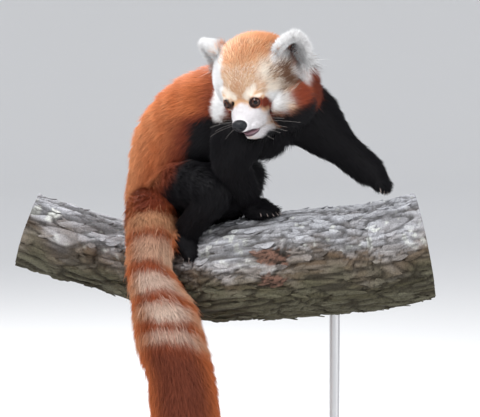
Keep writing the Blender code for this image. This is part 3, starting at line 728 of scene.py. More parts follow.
        # Painted shade: the root of the tail is deepened on its inner side, under the overhanging rump.
        inner = smooth_step(-0.130, -0.112, roots.places[:, 0])
        dark = mixed(dark, self.RED, root * (1.0 - inner))
        dark = mixed(dark, self.RED_DEEP, root * inner * 0.7)
        dark = mixed(dark, self.DARK, smooth_step(0.100, 0.075, roots.places[:, 2]))
        pale = mixed(np.tile(self.BAND_LIGHT, (len(height), 1)), self.BAND_WARM_AND_SHADE, warm_and_shade)
        return mixed(dark, pale, np.clip(light, 0.0, 1.0))

    def head(self, roots: Roots) -> np.ndarray:
        """The mask of the face, from dabs laid over the tan brow."""
        spots = roots.head
        folded = spots.copy()
        folded[:, 0] = np.abs(folded[:, 0])
        jitter = 0.12 * self.fine.at(roots.places)
        out, forward, up = folded.T
        found = np.tile(self.TAN, (len(spots), 1))
        found = mixed(found, self.RED, smooth_step(0.014, -0.004, forward - 0.25 * (up - 0.02)))
        for centre, radii, colour, soft, which in self.DABS:
            spot = folded if which == 0 else spots * np.array((which, 1.0, 1.0))
            gap = np.linalg.norm((spot - np.array(centre)) / np.array(radii), axis=1)
            found = mixed(found, colour, smooth_step(1.0 + soft, 1.0 - soft, gap + jitter))
        margin = out - np.interp(up, *self.MARGIN) + 0.02 * jitter
        band = smooth_step(-0.002, 0.003, margin) * smooth_step(0.0, 0.004, -spots[:, 0])
        band *= smooth_step(-0.022, -0.016, up) * smooth_step(0.062, 0.050, up)
        found = mixed(found, self.WHITE, band * smooth_step(-0.002, 0.006, forward))
        brown = smooth_step(-0.0085, -0.0125, up) * smooth_step(0.020, 0.027, out) * (1.0 - band)
        found = mixed(found, self.TEAR, brown * 0.8)
        side = smooth_step(0.0480, 0.0510, out + 0.004 * jitter) * smooth_step(0.030, 0.024, up)
        found = mixed(found, self.NECK_RED, side * smooth_step(0.024, 0.016, forward))
        dark = self.under(out, forward, up + 0.006 * jitter) * (1.0 - 0.8 * band)
        found = mixed(found, self.BLACK, dark)
        gap = np.linalg.norm((folded - np.array(self.LIPS[0])) / np.array(self.LIPS[1]), axis=1)
        return mixed(found, self.LIP, smooth_step(1.15, 0.95, gap))

    def under(self, out: np.ndarray, forward: np.ndarray, up: np.ndarray) -> np.ndarray:
        """How black the head is below its cheeks and at the throat."""
        jowl = smooth_step(-0.0125, -0.0175, up) * smooth_step(0.024, 0.030, out)
        side = smooth_step(0.049, 0.053, out) * smooth_step(-0.010, -0.015, up)
        behind = smooth_step(0.020, 0.010, forward) * smooth_step(-0.010, -0.016, up)
        throat = smooth_step(-0.030, -0.036, up) * smooth_step(0.034, 0.026, forward)
        return np.max([jowl, side, behind, throat], axis=0)

    def ear(self, places: np.ndarray, side: int) -> np.ndarray:
        """White ears with a grey hollow in front and red-brown fur behind."""
        spots = moved(places, ear_frame(side).inverted())
        across = spots[:, 0] / EAR_HALF_WIDTH
        rise = spots[:, 2] / EAR_HEIGHT
        wall = EAR_CUP * (1.0 - across ** 2) * (1.0 - rise ** 3)
        behind = smooth_step(0.0, 0.003, spots[:, 1] - wall)
        hollow = smooth_step(1.25, 0.75, np.hypot((side * across + 0.06) / 0.42, (rise - 0.38) / 0.30))
        found = mixed(np.tile(self.WHITE, (len(spots), 1)), self.HOLLOW, hollow * (1.0 - behind))
        rim = np.maximum(smooth_step(0.50, 0.70, rise), smooth_step(0.50, 0.70, np.abs(across)))
        found = mixed(found, self.RED_DEEP, behind * (1.0 - rim) * 0.9)
        return mixed(found, self.WHITE, smooth_step(0.35, 0.20, rise) * smooth_step(0.1, 0.4, side * across))


class Skin:
    """The flesh of the whole animal as one closed skin for the body and one for the head."""

    BODY_VOXEL = 0.0024
    HEAD_VOXEL = 0.0012
    LID_RADIUS = 0.0021
    LID_SIDES = 28

    def __init__(self, body: Body, markings: Markings) -> None:
        """Keeps what the skin is coloured by."""
        self.body = body
        self.markings = markings

    def build(self) -> bpy.types.Object:
        """Makes the skin and its colours.

        Returns:
            The skin's object.
        """
        trunk = melt_together("trunk", self.body_forms(), self.BODY_VOXEL, 6)
        head = melt_together("head_skin", self.head_forms(), self.HEAD_VOXEL, 4)
        self.open_mouth(head)
        self.seat_eyes(head)
        shape = bmesh.new()
        for thing in (trunk, head):
            shape.from_mesh(thing.data)
            bpy.data.objects.remove(thing)
        bmesh.ops.triangulate(shape, faces=shape.faces)
        skin = link("skin", mesh_of("skin", shape))
        skin.data.shade_smooth()
        roots = self.body.locate(points_of(skin.data), normals_of(skin.data))
        # Painted shade: the skin is painted a tenth darker than the coat's markings, for the shade deep in
        # the fur.
        set_colours(skin.data, "Coat", self.markings.colours(roots) * 0.9)
        return skin

    def body_forms(self) -> list[bpy.types.Mesh]:
        """The forms of the trunk, limbs and tail."""
        forms = [tube(SPINE, LONG_DEPTH), tube(NECK, LONG_DEPTH), tube(TAIL, LONG_DEPTH)]
        for leg in (FORELEG_LEFT, FORELEG_RIGHT, HINDLEG_LEFT, HINDLEG_RIGHT):
            forms.append(tube(leg, LEG_DEPTH))
        for centre, radius in (BELLY, PAUNCH, CHEST):
            forms.append(ball(centre, (radius,) * 3, LONG_DEPTH))
        for centre, toes in PAWS.values():
            forms += self.paw_forms(centre, toes)
        return forms

    def paw_forms(self, centre: Point, toes: Point) -> list[bpy.types.Mesh]:
        """A broad foot and its toes."""
        forms = []
        turn = paw_turn(toes)
        foot = ball((0.0, 0.0, 0.0), PAW_RADII, PAW_DEPTH)
        foot.transform(Matrix.Translation(centre) @ turn.to_4x4())
        forms.append(foot)
        for toe, way in toe_places(centre, toes):
            forms.append(ball(tuple(toe), (TOE_RADIUS,) * 3, PAW_DEPTH * 0.5))
        return forms

    def head_forms(self) -> list[bpy.types.Mesh]:
        """The forms of the skull, muzzle, cheeks, lids and ears."""
        forms = [ball(tuple(face(CRANIUM[0])), CRANIUM[1], HEAD_DEPTH)]
        for stations in (MUZZLE, JAW):
            forms.append(tube(tuple((*face(s[:3]), s[3]) for s in stations), HEAD_DEPTH * 0.6))
        for side in (1, -1):
            for (place, radii), depth in ((CHEEK, HEAD_DEPTH), (BROW, HEAD_DEPTH), (LIP, 0.0015)):
                forms.append(ball(tuple(face(place, side)), radii, depth))
            forms.append(self.lids(side))
        for form in forms:
            form.transform(head_frame())
        for side in (1, -1):
            forms.append(self.ear(side))
        return forms

    def lids(self, side: int) -> bpy.types.Mesh:
        """A ring of flesh round one eye."""
        place, radius = EYE
        gaze = face(EYE_GAZE, side).normalized()
        turn = gaze.to_track_quat("Z", "Y").to_matrix().to_4x4()
        centre = face(place, side) + gaze * radius * 0.42
        shape = bmesh.new()
        for step in range(self.LID_SIDES):
            angle = 2.0 * math.pi * step / self.LID_SIDES
            spot = Vector((math.cos(angle), math.sin(angle), 0.0)) * radius * 0.92
            bmesh.ops.create_icosphere(
                shape, subdivisions=2, radius=self.LID_RADIUS,
                matrix=Matrix.Translation(centre) @ turn @ Matrix.Translation(spot),
            )
        return mesh_of("lids", shape)

    def ear(self, side: int) -> bpy.types.Mesh:
        """One ear's cup, as a wall of small balls' thickness."""
        rows, columns = 15, 17
        shape = bmesh.new()
        grid = []
        for i in range(rows):
            rise = i / (rows - 1)
            half = EAR_HALF_WIDTH * math.sqrt(1.0 - rise ** 2.2) * (1.0 - 0.12 * rise)
            half = max(half - EAR_DEPTH, 0.0015)
            line = []
            for j in range(columns):
                across = 2.0 * j / (columns - 1) - 1.0
                cup = EAR_CUP * (1.0 - across ** 2) * (1.0 - rise ** 3)
                place = (across * half, cup, rise * (EAR_HEIGHT - EAR_DEPTH * 1.6))
                line.append(shape.verts.new(place))
            grid.append(line)
        for low, high in zip(grid, grid[1:]):
            for j in range(columns - 1):
                shape.faces.new((low[j], low[j + 1], high[j + 1], high[j]))
        bmesh.ops.recalc_face_normals(shape, faces=shape.faces)
        wall = link("wall", mesh_of("wall", shape))
        thicken = wall.modifiers.new("thicken", "SOLIDIFY")
        thicken.thickness = EAR_THICKNESS - 2.0 * EAR_DEPTH
        thicken.offset = 0.0
        settle(wall)
        mesh = wall.data
        bpy.data.objects.remove(wall)
        mesh.transform(ear_frame(side))
        return mesh

    def open_mouth(self, head: bpy.types.Object) -> None:
        """Cuts the parted lips."""
        mesh = ball(tuple(face(MOUTH[0])), MOUTH[1])
        mesh.transform(head_frame())
        cutter = link("mouth", mesh)
        cut = head.modifiers.new("mouth", "BOOLEAN")
        cut.operation = "DIFFERENCE"
        cut.object = cutter
        settle(head)
        bpy.data.objects.remove(cutter)

    def seat_eyes(self, head: bpy.types.Object) -> None:
        """Draws the skin back behind each eyeball, inside its lids."""
        places = points_of(head.data)
        for side in (1, -1):
            centre = np.array(head_frame() @ face(EYE[0], side))
            spoke = places - centre
            gap = np.linalg.norm(spoke, axis=1)
            inside = gap < EYE[1] + 0.0001
            places[inside] = centre + unit(spoke[inside]) * (EYE[1] - 0.0008)
        set_points(head.data, places)


def paw_turn(toes: Point) -> Matrix:
    """A paw's turn: across, along its toes, and up."""
    aim = Vector(toes).normalized()
    across = aim.cross(Vector((0.0, 0.0, 1.0))).normalized()
    return Matrix((across, aim, across.cross(aim))).transposed()


def toe_places(centre: Point, toes: Point) -> list[tuple[Vector, Vector]]:
    """Each toe's middle and the way that it points."""
    turn = paw_turn(toes)
    found = []
    for k in range(TOE_COUNT):
        fan = TOE_FAN * (k / (TOE_COUNT - 1) - 0.5)
        way = turn @ Vector((math.sin(fan), math.cos(fan), 0.0))
        found.append((Vector(centre) + way * PAW_RADII[1] * 0.86, way))
    return found


@dataclass(frozen=True)
class CoatKind:
    """How one stretch of the coat grows."""

    name: str
    parts: tuple[Part, ...]
    count: int
    length: float
    width: float
    lift: tuple[float, float]
    droop: float
    clump: float
    slot: str
    low: float = 0.0
    high: float = 1.01
    seed: int = 1
    bent: bool = False
    ruffle: float = 0.16

    @property
    def points(self) -> int:
        """How many points one tuft has."""
        return 7 if self.bent else 4


class Coat:
    """The coat, as solid tufts rooted in the skin."""

    PATCH = 0.003
    SINK = 0.0006
    # The root of the white fringe below each ear, in the head's frame.
    FRINGE = (0.0560, -0.0080, 0.0250)
    SHOWN = (0.35, 0.80)

    def __init__(self, skin: bpy.types.Object, body: Body, markings: Markings) -> None:
        """Reads the skin's faces and where on the body each lies.

        Args:
            skin: The skin that the tufts grow from.
            body: The forms that give each place its part.
            markings: The colours.
        """
        self.body = body
        self.markings = markings
        mesh = skin.data
        self.points = points_of(mesh)
        self.point_normals = normals_of(mesh)
        flat = np.empty(len(mesh.polygons) * 3, int)
        mesh.polygons.foreach_get("vertices", flat)
        self.faces = flat.reshape(-1, 3)
        corners = self.points[self.faces]
        crossed = np.cross(corners[:, 1] - corners[:, 0], corners[:, 2] - corners[:, 0])
        self.areas = 0.5 * np.linalg.norm(crossed, axis=1)
        self.middles = body.locate(corners.mean(axis=1), unit(crossed))
        self.eyes = [np.array(head_frame() @ face(EYE[0], side)) for side in (1, -1)]

    def grow(self, kind: CoatKind) -> bpy.types.Object:
        """Grows one stretch of the coat.

        Args:
            kind: How it grows.

        Returns:
            The tufts as one object.
        """
        draw = np.random.default_rng(kind.seed)
        roots = self.scatter(kind, draw)
        lie = self.lie(roots, kind)
        sizes = self.sizes(roots, kind, draw)
        places, faces = self.tufts(roots, lie, sizes, kind, draw)
        mesh = bpy.data.meshes.new(kind.name)
        mesh.from_pydata(places, [], faces)
        mesh.shade_smooth()
        normals = self.shading(roots, lie, draw)
        mesh.normals_split_custom_set_from_vertices(np.repeat(normals, kind.points, axis=0))
        ends = [self.seen(roots, lie, sizes * share) for share in self.SHOWN]
        fringe = np.maximum(self.near_fringe(roots, 1), self.near_fringe(roots, -1))
        set_colours(mesh, "Coat", self.tuft_colours(ends, fringe, kind, draw))
        self.lay_patches(mesh, roots, kind)
        return link(kind.name, mesh)

    def scatter(self, kind: CoatKind, draw: np.random.Generator) -> Roots:
        """Draws the roots over the faces of the kind's parts, by area."""
        keep = np.isin(self.middles.parts, [part.value for part in kind.parts])
        measure = self.measure(self.middles, kind)
        keep &= (measure >= kind.low) & (measure < kind.high)
        for centre in self.eyes:
            keep &= np.linalg.norm(self.middles.places - centre, axis=1) > EYE[1] + 0.0012
        folded = self.middles.head * np.array((1.0, 1.0, 1.0))
        folded[:, 0] = np.abs(folded[:, 0])
        mouth = folded - np.array(Markings.LIPS[0])
        keep &= np.linalg.norm(mouth / np.array(Markings.LIPS[1]), axis=1) > 0.9
        nose = (self.middles.head - np.array(NOSE[0])) / (np.array(NOSE[1]) + 0.0008)
        keep &= np.linalg.norm(nose, axis=1) > 1.0
        chosen = np.flatnonzero(keep)
        weights = self.areas[chosen] * self.thickness(self.middles.of(chosen))
        picks = draw.choice(chosen, size=kind.count, p=weights / weights.sum())
        shares = draw.dirichlet((1.0, 1.0, 1.0), size=kind.count)[:, :, None]
        places = (self.points[self.faces[picks]] * shares).sum(axis=1)
        normals = unit((self.point_normals[self.faces[picks]] * shares).sum(axis=1))
        return self.body.locate(places, normals)

    def seen(self, roots: Roots, lie: np.ndarray, lengths: np.ndarray) -> Roots:
        """The roots moved along the tufts, to where a part of each is seen."""
        places = roots.places + lie * lengths[:, None]
        head = moved(places, head_frame().inverted()) * np.array((1.0, -1.0, 1.0))
        return Roots(
            places, roots.normals, roots.parts, roots.rows, roots.along, roots.around, head
        )

    def shading(self, roots: Roots, lie: np.ndarray, draw: np.random.Generator) -> np.ndarray:
        """The way each tuft faces the light, which is softer than its own faces."""
        normals = roots.normals.copy()
        for side, part in ((1, Part.EAR_LEFT), (-1, Part.EAR_RIGHT)):
            own = roots.parts == part.value
            heart = np.array(ear_frame(side) @ Vector((0.0, EAR_CUP * 1.6, EAR_HEIGHT * 0.3)))
            normals[own] = 0.35 * normals[own] + 0.65 * unit(roots.places[own] - heart)
        return unit(normals + lie * 0.25 + draw.normal(0.0, 0.16, normals.shape))

    def measure(self, roots: Roots, kind: CoatKind) -> np.ndarray:
        """What the kind's low and high limit: the way along, or how far forward a head is."""
        if kind.parts[0] is Part.HEAD:
            return (roots.head[:, 1] + 0.06) / 0.12
        return roots.along

    def thickness(self, roots: Roots) -> np.ndarray:
        """How thickly the coat grows, which is most on the face."""
        face_share = smooth_step(0.020, 0.040, roots.head[:, 1])
        return np.where(roots.parts == Part.HEAD.value, 1.0 + 1.2 * face_share, 1.0)

    def lie(self, roots: Roots, kind: CoatKind) -> np.ndarray:
        """The way in which the coat lies at each root."""
        ways = np.zeros_like(roots.places)
        for part, line in self.body.lines.items():
            own = roots.parts == part.value
            ways[own] = line.ways[roots.rows[own]] * line.flow
        ways[:, 2] -= kind.droop
        turn = np.array(head_frame())[:3, :3]
        own = roots.parts == Part.HEAD.value
        if own.any():
            ways[own] = self.face_lie(roots.head[own]) @ turn.T
        for side, part in ((1, Part.EAR_LEFT), (-1, Part.EAR_RIGHT)):
            own = roots.parts == part.value
            turn_ear = np.array(ear_frame(side))[:3, :3]
            spots = moved(roots.places[own], ear_frame(side).inverted())
            spread = spots * np.array((0.9, 0.0, 1.0)) - np.array((0.0, 0.0, EAR_HEIGHT * 0.2))
            ways[own] = unit(spread) @ turn_ear.T
        for side, part in ((1, Part.EAR_LEFT), (-1, Part.EAR_RIGHT)):
            near = self.near_fringe(roots, side)[:, None]
            ways = ways * (1.0 - near) + unit(np.array((side * 0.83, -0.10, -0.55))) * near
        for centre, toes in PAWS.values():
            own = (roots.parts == Part.PAW.value) & (
                np.linalg.norm(roots.places - np.array(centre), axis=1) < 0.045
            )
            ways[own] = unit(np.array(toes))
        return along_surface(ways, roots.normals)

    def near_fringe(self, roots: Roots, side: int) -> np.ndarray:
        """How near each root is to the white fringe below one ear."""
        place = np.array(head_frame() @ face(self.FRINGE, side))
        found = smooth_step(0.017, 0.009, np.linalg.norm(roots.places - place, axis=1))
        parts = (Part.HEAD.value, Part.EAR_LEFT.value, Part.EAR_RIGHT.value)
        return found * np.isin(roots.parts, parts) * (1.0 if side > 0 else 0.35)

    def face_lie(self, spots: np.ndarray) -> np.ndarray:
        """The lie on the head, in its own frame: back from the nose, down on the cheeks."""
        nose = np.array((0.0, 0.062, -0.006))
        away = unit(spots - nose)
        back = np.zeros_like(spots)
        back[:, 1] = -1.0
        back[:, 0] = 0.5 * np.clip(spots[:, 0] / 0.020, -1.0, 1.0)
        back[:, 2] = 0.25 - 0.85 * smooth_step(0.010, -0.010, spots[:, 2])
        share = smooth_step(0.02, 0.06, np.linalg.norm(spots - nose, axis=1))[:, None]
        way = away * (1.0 - share) + unit(back) * share
        inner = np.abs(spots) - np.array((0.042, 0.004, 0.046))
        share = smooth_step(0.020, 0.010, np.linalg.norm(inner, axis=1))[:, None]
        rising = np.stack([0.7 * np.sign(spots[:, 0]), 0.0 * spots[:, 1], spots[:, 2] * 0 + 0.7])
        way = way * (1.0 - share) + rising.T * share
        way[:, 1] *= -1.0
        return unit(way)

    def sizes(self, roots: Roots, kind: CoatKind, draw: np.random.Generator) -> np.ndarray:
        """The length of each tuft."""
        lengths = kind.length * draw.uniform(0.72, 1.22, len(roots.places))
        head = roots.parts == Part.HEAD.value
        spots = roots.head
        short = 0.30 + 0.70 * smooth_step(0.052, 0.012, spots[:, 1])
        ruff = smooth_step(0.030, 0.048, np.abs(spots[:, 0])) * smooth_step(0.02, -0.01, spots[:, 2])
        short = short * (1.0 + 0.5 * ruff)
        near_eye = np.min(
            [np.linalg.norm(roots.places - centre, axis=1) for centre in self.eyes], axis=0
        )
        short *= 0.40 + 0.60 * smooth_step(0.008, 0.017, near_eye)
        lengths[head] *= short[head]
        fringe = np.maximum(self.near_fringe(roots, 1), self.near_fringe(roots, -1))
        lengths *= 1.0 + 1.1 * fringe
        band = head & (spots[:, 0] < -0.030) & (spots[:, 2] > -0.015)
        lengths[band] *= 1.35
        belly = smooth_step(0.490, 0.465, roots.places[:, 2])
        belly *= smooth_step(-0.030, -0.010, roots.places[:, 0])
        trunk = roots.parts == Part.TORSO.value
        lengths[trunk] *= 1.0 + 1.5 * belly[trunk]
        return lengths

    def tufts(
        self,
        roots: Roots,
        lie: np.ndarray,
        lengths: np.ndarray,
        kind: CoatKind,
        draw: np.random.Generator,
    ) -> tuple[np.ndarray, np.ndarray]:
        """Makes a three-sided tuft at each root, bent for the kinds that bend.

        Args:
            roots: Where the tufts grow.
            lie: The way in which each lies.
            lengths: The length of each.
            kind: How they grow.
            draw: The random draw.

        Returns:
            The points, seven to a bent tuft and four to a straight one, and the faces.
        """
        count = len(lengths)
        normals = roots.normals
        sway = np.cross(normals, lie) * draw.normal(0.0, kind.ruffle, (count, 1))
        lie = unit(lie + sway)
        low, high = kind.lift
        rise = low * draw.uniform(0.7, 1.3, (count, 1))
        first = unit(lie + normals * rise)
        second = unit(lie + normals * high * draw.uniform(0.4, 1.4, (count, 1)))
        size = lengths[:, None]
        start = roots.places - normals * self.SINK
        middle = start + first * size * 0.45
        tips = middle + second * size * 0.55
        tips = self.clumped(tips, kind, draw)
        across = unit(np.cross(lie, normals))
        widths = kind.width * np.clip(size / kind.length, 0.45, 1.2)
        widths = widths * draw.uniform(0.75, 1.25, (count, 1))
        rings = []
        stations = ((start, 0.75), (middle, 1.0)) if kind.bent else ((start, 1.0),)
        for place, share in stations:
            edge = across * widths * 0.5 * share
            ridge = normals * widths * 0.42 * share
            rings += [place + edge - ridge * 0.4, place - edge - ridge * 0.4, place + ridge]
        places = np.stack([*rings, tips], axis=1).reshape(-1, 3)
        pattern = [(0, 2, 1)]
        for k in range(3):
            after = (k + 1) % 3
            if kind.bent:
                pattern += [(k, after, k + 3), (after, after + 3, k + 3), (k + 3, after + 3, 6)]
            else:
                pattern += [(k, after, 3)]
        faces = np.array(pattern)[None] + kind.points * np.arange(count)[:, None, None]
        return places, faces.reshape(-1, 3)

    def clumped(
        self, tips: np.ndarray, kind: CoatKind, draw: np.random.Generator
    ) -> np.ndarray:
        """Draws the tips together into locks round a few of them."""
        chosen = draw.choice(len(tips), max(len(tips) // 22, 1), replace=False)
        tree = KDTree(len(chosen))
        for number, tip in enumerate(tips[chosen]):
            tree.insert(tip, number)
        tree.balance()
        leaders = np.array([tree.find(tip)[1] for tip in tips])
        heads = tips[chosen][leaders]
        pull = kind.clump * draw.uniform(0.5, 1.0, (len(tips), 1))
        return tips * (1.0 - pull) + heads * pull

    def tuft_colours(
        self,
        ends: list[Roots],
        fringe: np.ndarray,
        kind: CoatKind,
        draw: np.random.Generator,
    ) -> np.ndarray:
        """Colours each tuft, with painted shade at its dark root and a light tip.

        Args:
            ends: Where the lower and the upper half of each tuft are seen.
            fringe: How far each tuft belongs to the white fringe below an ear.
            kind: How the tufts grow.
            draw: The random draw.

        Returns:
            One colour to each point.
        """
        count = len(ends[0].places)
        shade = draw.normal(1.0, 0.11, (count, 1)).clip(0.6, 1.5)
        pick = draw.uniform(0.0, 1.0, count)
        lower, upper = (self.ticked(roots, pick) for roots in ends)
        lower, upper = (mixed(part, Markings.WHITE, fringe) * shade for part in (lower, upper))
        # Painted shade: the root of each tuft is darkened, as the coat shades itself near the skin; the tip
        # is lighter.
        bright = lower.mean(axis=1, keepdims=True)
        root = lower * (0.60 + 0.28 * bright)
        middle = (lower + upper) * 0.47
        tip = upper * (1.14 - 0.12 * bright)
        if kind.bent:
            rows = np.stack([root, root, root, middle, middle, middle, tip], axis=1)
        else:
            rows = np.stack([root, root, root, tip], axis=1)
        return rows.reshape(-1, 3)

    def ticked(self, roots: Roots, pick: np.ndarray) -> np.ndarray:
        """The coat's colours, with the odd dark or pale tuft on the head."""
        base = self.markings.colours(roots)
        out, forward, up = np.abs(roots.head[:, 0]), roots.head[:, 1], roots.head[:, 2]
        head = (roots.parts == Part.HEAD.value) & (forward > 0.0)
        head &= base.sum(axis=1) > 0.35
        brow = smooth_step(0.060, 0.044, up) * smooth_step(0.004, 0.012, up)
        temple = smooth_step(0.026, 0.042, out) * brow
        crown = smooth_step(0.044, 0.056, up)
        pale = base.min(axis=1) > 0.55
        base[head & ~pale & (pick < 0.13 * brow)] = Markings.RUSSET
        base[head & ~pale & (pick < 0.42 * temple)] = Markings.TICK
        base[head & ~pale & (pick > 1.0 - 0.28 * brow)] = Markings.CREAM
        base[head & (pick < 0.22 * crown)] = Markings.RUSSET
        base[head & (pick > 1.0 - 0.28 * crown)] = Markings.GOLD
        return base

    def lay_patches(self, mesh: bpy.types.Mesh, roots: Roots, kind: CoatKind) -> None:
        """Gives each tuft a small patch at its root's place on the body's own unwrap."""
        spots = self.unwrap(roots)
        half = self.PATCH / 2.0
        low = [(-half, -half), (half, -half), (0.0, -half)]
        mid = [(-half, 0.0), (half, 0.0), (0.0, 0.0)] if kind.bent else []
        offsets = np.array([*low, *mid, (0.0, half)])
        points = (spots[:, None] + offsets[None]).reshape(-1, 2)
        layer = mesh.uv_layers.new(name="OFBake")
        corner = np.empty(len(mesh.loops), int)
        mesh.loops.foreach_get("vertex_index", corner)
        layer.data.foreach_set("uv", points[corner].ravel())

    def unwrap(self, roots: Roots) -> np.ndarray:
        """Where each root lies when its part is laid flat, each part in a strip of its own."""
        parts = sorted(set(roots.parts.tolist()))
        along = roots.along.copy()
        around = roots.around / (2.0 * math.pi) + 0.5
        head = roots.parts == Part.HEAD.value
        spots = roots.head
        away = np.arctan2(np.hypot(spots[:, 0], spots[:, 2] - 0.01), spots[:, 1]) / math.pi
        turn = np.arctan2(spots[:, 0], spots[:, 2] - 0.01) / (2.0 * math.pi) + 0.5
        along = np.where(head, away, along)
        around = np.where(head, turn, around)
        for side, part in ((1, Part.EAR_LEFT), (-1, Part.EAR_RIGHT)):
            own = roots.parts == part.value
            ear = moved(roots.places[own], ear_frame(side).inverted())
            along[own] = ear[:, 2] / (EAR_HEIGHT * 1.3)
            behind = np.sign(ear[:, 1] - EAR_CUP * 0.5)
            around[own] = 0.5 + behind * (0.25 + 0.2 * ear[:, 0] / EAR_HALF_WIDTH)
        paws = roots.parts == Part.PAW.value
        local = roots.places[paws] * np.array((9.0, 9.0, 9.0))
        along[paws] = np.mod(local[:, 0] + local[:, 1], 1.0)
        around[paws] = np.mod(local[:, 2], 1.0)
        strip = np.searchsorted(parts, roots.parts) / len(parts)
        margin = 0.01
        along = margin + np.clip(along, 0.0, 1.0) * (1.0 - 2.0 * margin)
        around = strip + (margin + np.clip(around, 0.0, 1.0) * (1.0 - 2.0 * margin)) / len(parts)
        return np.stack([along, around], axis=1)


TRUNK = (Part.TORSO, Part.NECK)
FORELEGS = (Part.FORELEG_LEFT, Part.FORELEG_RIGHT)
HINDLEGS = (Part.HINDLEG_LEFT, Part.HINDLEG_RIGHT)
EARS = (Part.EAR_LEFT, Part.EAR_RIGHT)
HEAD = (Part.HEAD,)
TAIL_ONLY = (Part.TAIL,)
COATS = (
    CoatKind("coat_back", (Part.TORSO,), 48000, 0.0175, 0.0010, (0.46, 0.46), 0.45, 0.14,
             "red_coat", 0.0, 0.55, 21),
    CoatKind("coat_shoulders", (Part.TORSO,), 38000, 0.0175, 0.0011, (0.44, 0.44), 0.35, 0.16,
             "red_coat", 0.55, 1.01, 22),
    CoatKind("coat_nape", (Part.NECK,), 20000, 0.018, 0.0011, (0.40, 0.40), 0.2, 0.18,
             "red_coat", 0.0, 1.01, 23),
    CoatKind("coat_tail_upper", TAIL_ONLY, 44000, 0.0150, 0.0011, (0.52, 0.52), 0.0, 0.25,
             "tail_coat", 0.0, 0.45, 24, False, 0.28),
    CoatKind("coat_tail_lower", TAIL_ONLY, 42000, 0.0170, 0.0012, (0.50, 0.50), 0.0, 0.25,
             "tail_coat", 0.45, 1.01, 25, False, 0.28),
    CoatKind("coat_forelegs", FORELEGS, 24000, 0.014, 0.0012, (0.36, 0.36), 0.25, 0.20,
             "black_coat", 0.0, 1.01, 26),
    CoatKind("coat_hindlegs", HINDLEGS, 22000, 0.015, 0.0012, (0.36, 0.36), 0.25, 0.20,
             "black_coat", 0.0, 1.01, 27),
    CoatKind("coat_paws", (Part.PAW,), 12000, 0.0090, 0.0009, (0.40, 0.40), 0.0, 0.15,
             "black_coat", 0.0, 1.01, 28, False, 0.30),
    CoatKind("coat_face", HEAD, 48000, 0.0115, 0.00070, (0.36, 0.36), 0.0, 0.10,
             "face_coat", 0.62, 1.01, 29, False, 0.22),
    CoatKind("coat_crown", HEAD, 32000, 0.0125, 0.00080, (0.60, 0.60), 0.0, 0.12,
             "face_coat", -1.0, 0.62, 30, False, 0.30),
    CoatKind("coat_ears", EARS, 22000, 0.0095, 0.0008, (0.80, 0.80), 0.0, 0.12,
             "white_coat", 0.0, 1.01, 31, False, 0.45),
    CoatKind("guard_hairs_body", TRUNK, 4500, 0.026, 0.0006, (0.50, 0.20), 0.35, 0.20,
             "red_coat", 0.0, 1.01, 32, True),
    CoatKind("guard_hairs_tail", TAIL_ONLY, 4000, 0.024, 0.0006, (0.55, 0.25), 0.0, 0.20,
             "tail_coat", 0.0, 1.01, 33, True),
)


class Finish:
    """Materials, each with its own nodes."""

    @staticmethod
    def start(name: str) -> tuple[bpy.types.Material, bpy.types.NodeTree, bpy.types.Node]:
        """A new material with its node tree and its Principled shader."""
        made = bpy.data.materials.new(name)
        made.use_nodes = True
        tree = made.node_tree
        return made, tree, tree.nodes["Principled BSDF"]

    @staticmethod
    def coat(name: str, roughness: float) -> bpy.types.Material:
        """Fur whose colour is stored on its points."""
        made, tree, shader = Finish.start(name)
        colour = tree.nodes.new("ShaderNodeAttribute")
        colour.attribute_name = "Coat"
        tree.links.new(colour.outputs["Color"], shader.inputs["Base Color"])
        shader.inputs["Roughness"].default_value = roughness
        shader.inputs["Specular IOR Level"].default_value = 0.12
        return made

    @staticmethod
    def plain(name: str, colour: tuple[float, float, float], roughness: float) -> bpy.types.Material:
        """One colour with a soft mottle."""
        made, tree, shader = Finish.start(name)
        noise = tree.nodes.new("ShaderNodeTexNoise")
        noise.inputs["Scale"].default_value = 400.0
        bump = tree.nodes.new("ShaderNodeBump")
        bump.inputs["Strength"].default_value = 0.2
        bump.inputs["Distance"].default_value = 0.0005
        where = tree.nodes.new("ShaderNodeTexCoord")
        tree.links.new(where.outputs["Object"], noise.inputs["Vector"])
        tree.links.new(noise.outputs["Fac"], bump.inputs["Height"])
        tree.links.new(bump.outputs["Normal"], shader.inputs["Normal"])
        shader.inputs["Base Color"].default_value = (*colour, 1.0)
        shader.inputs["Roughness"].default_value = roughness
        return made


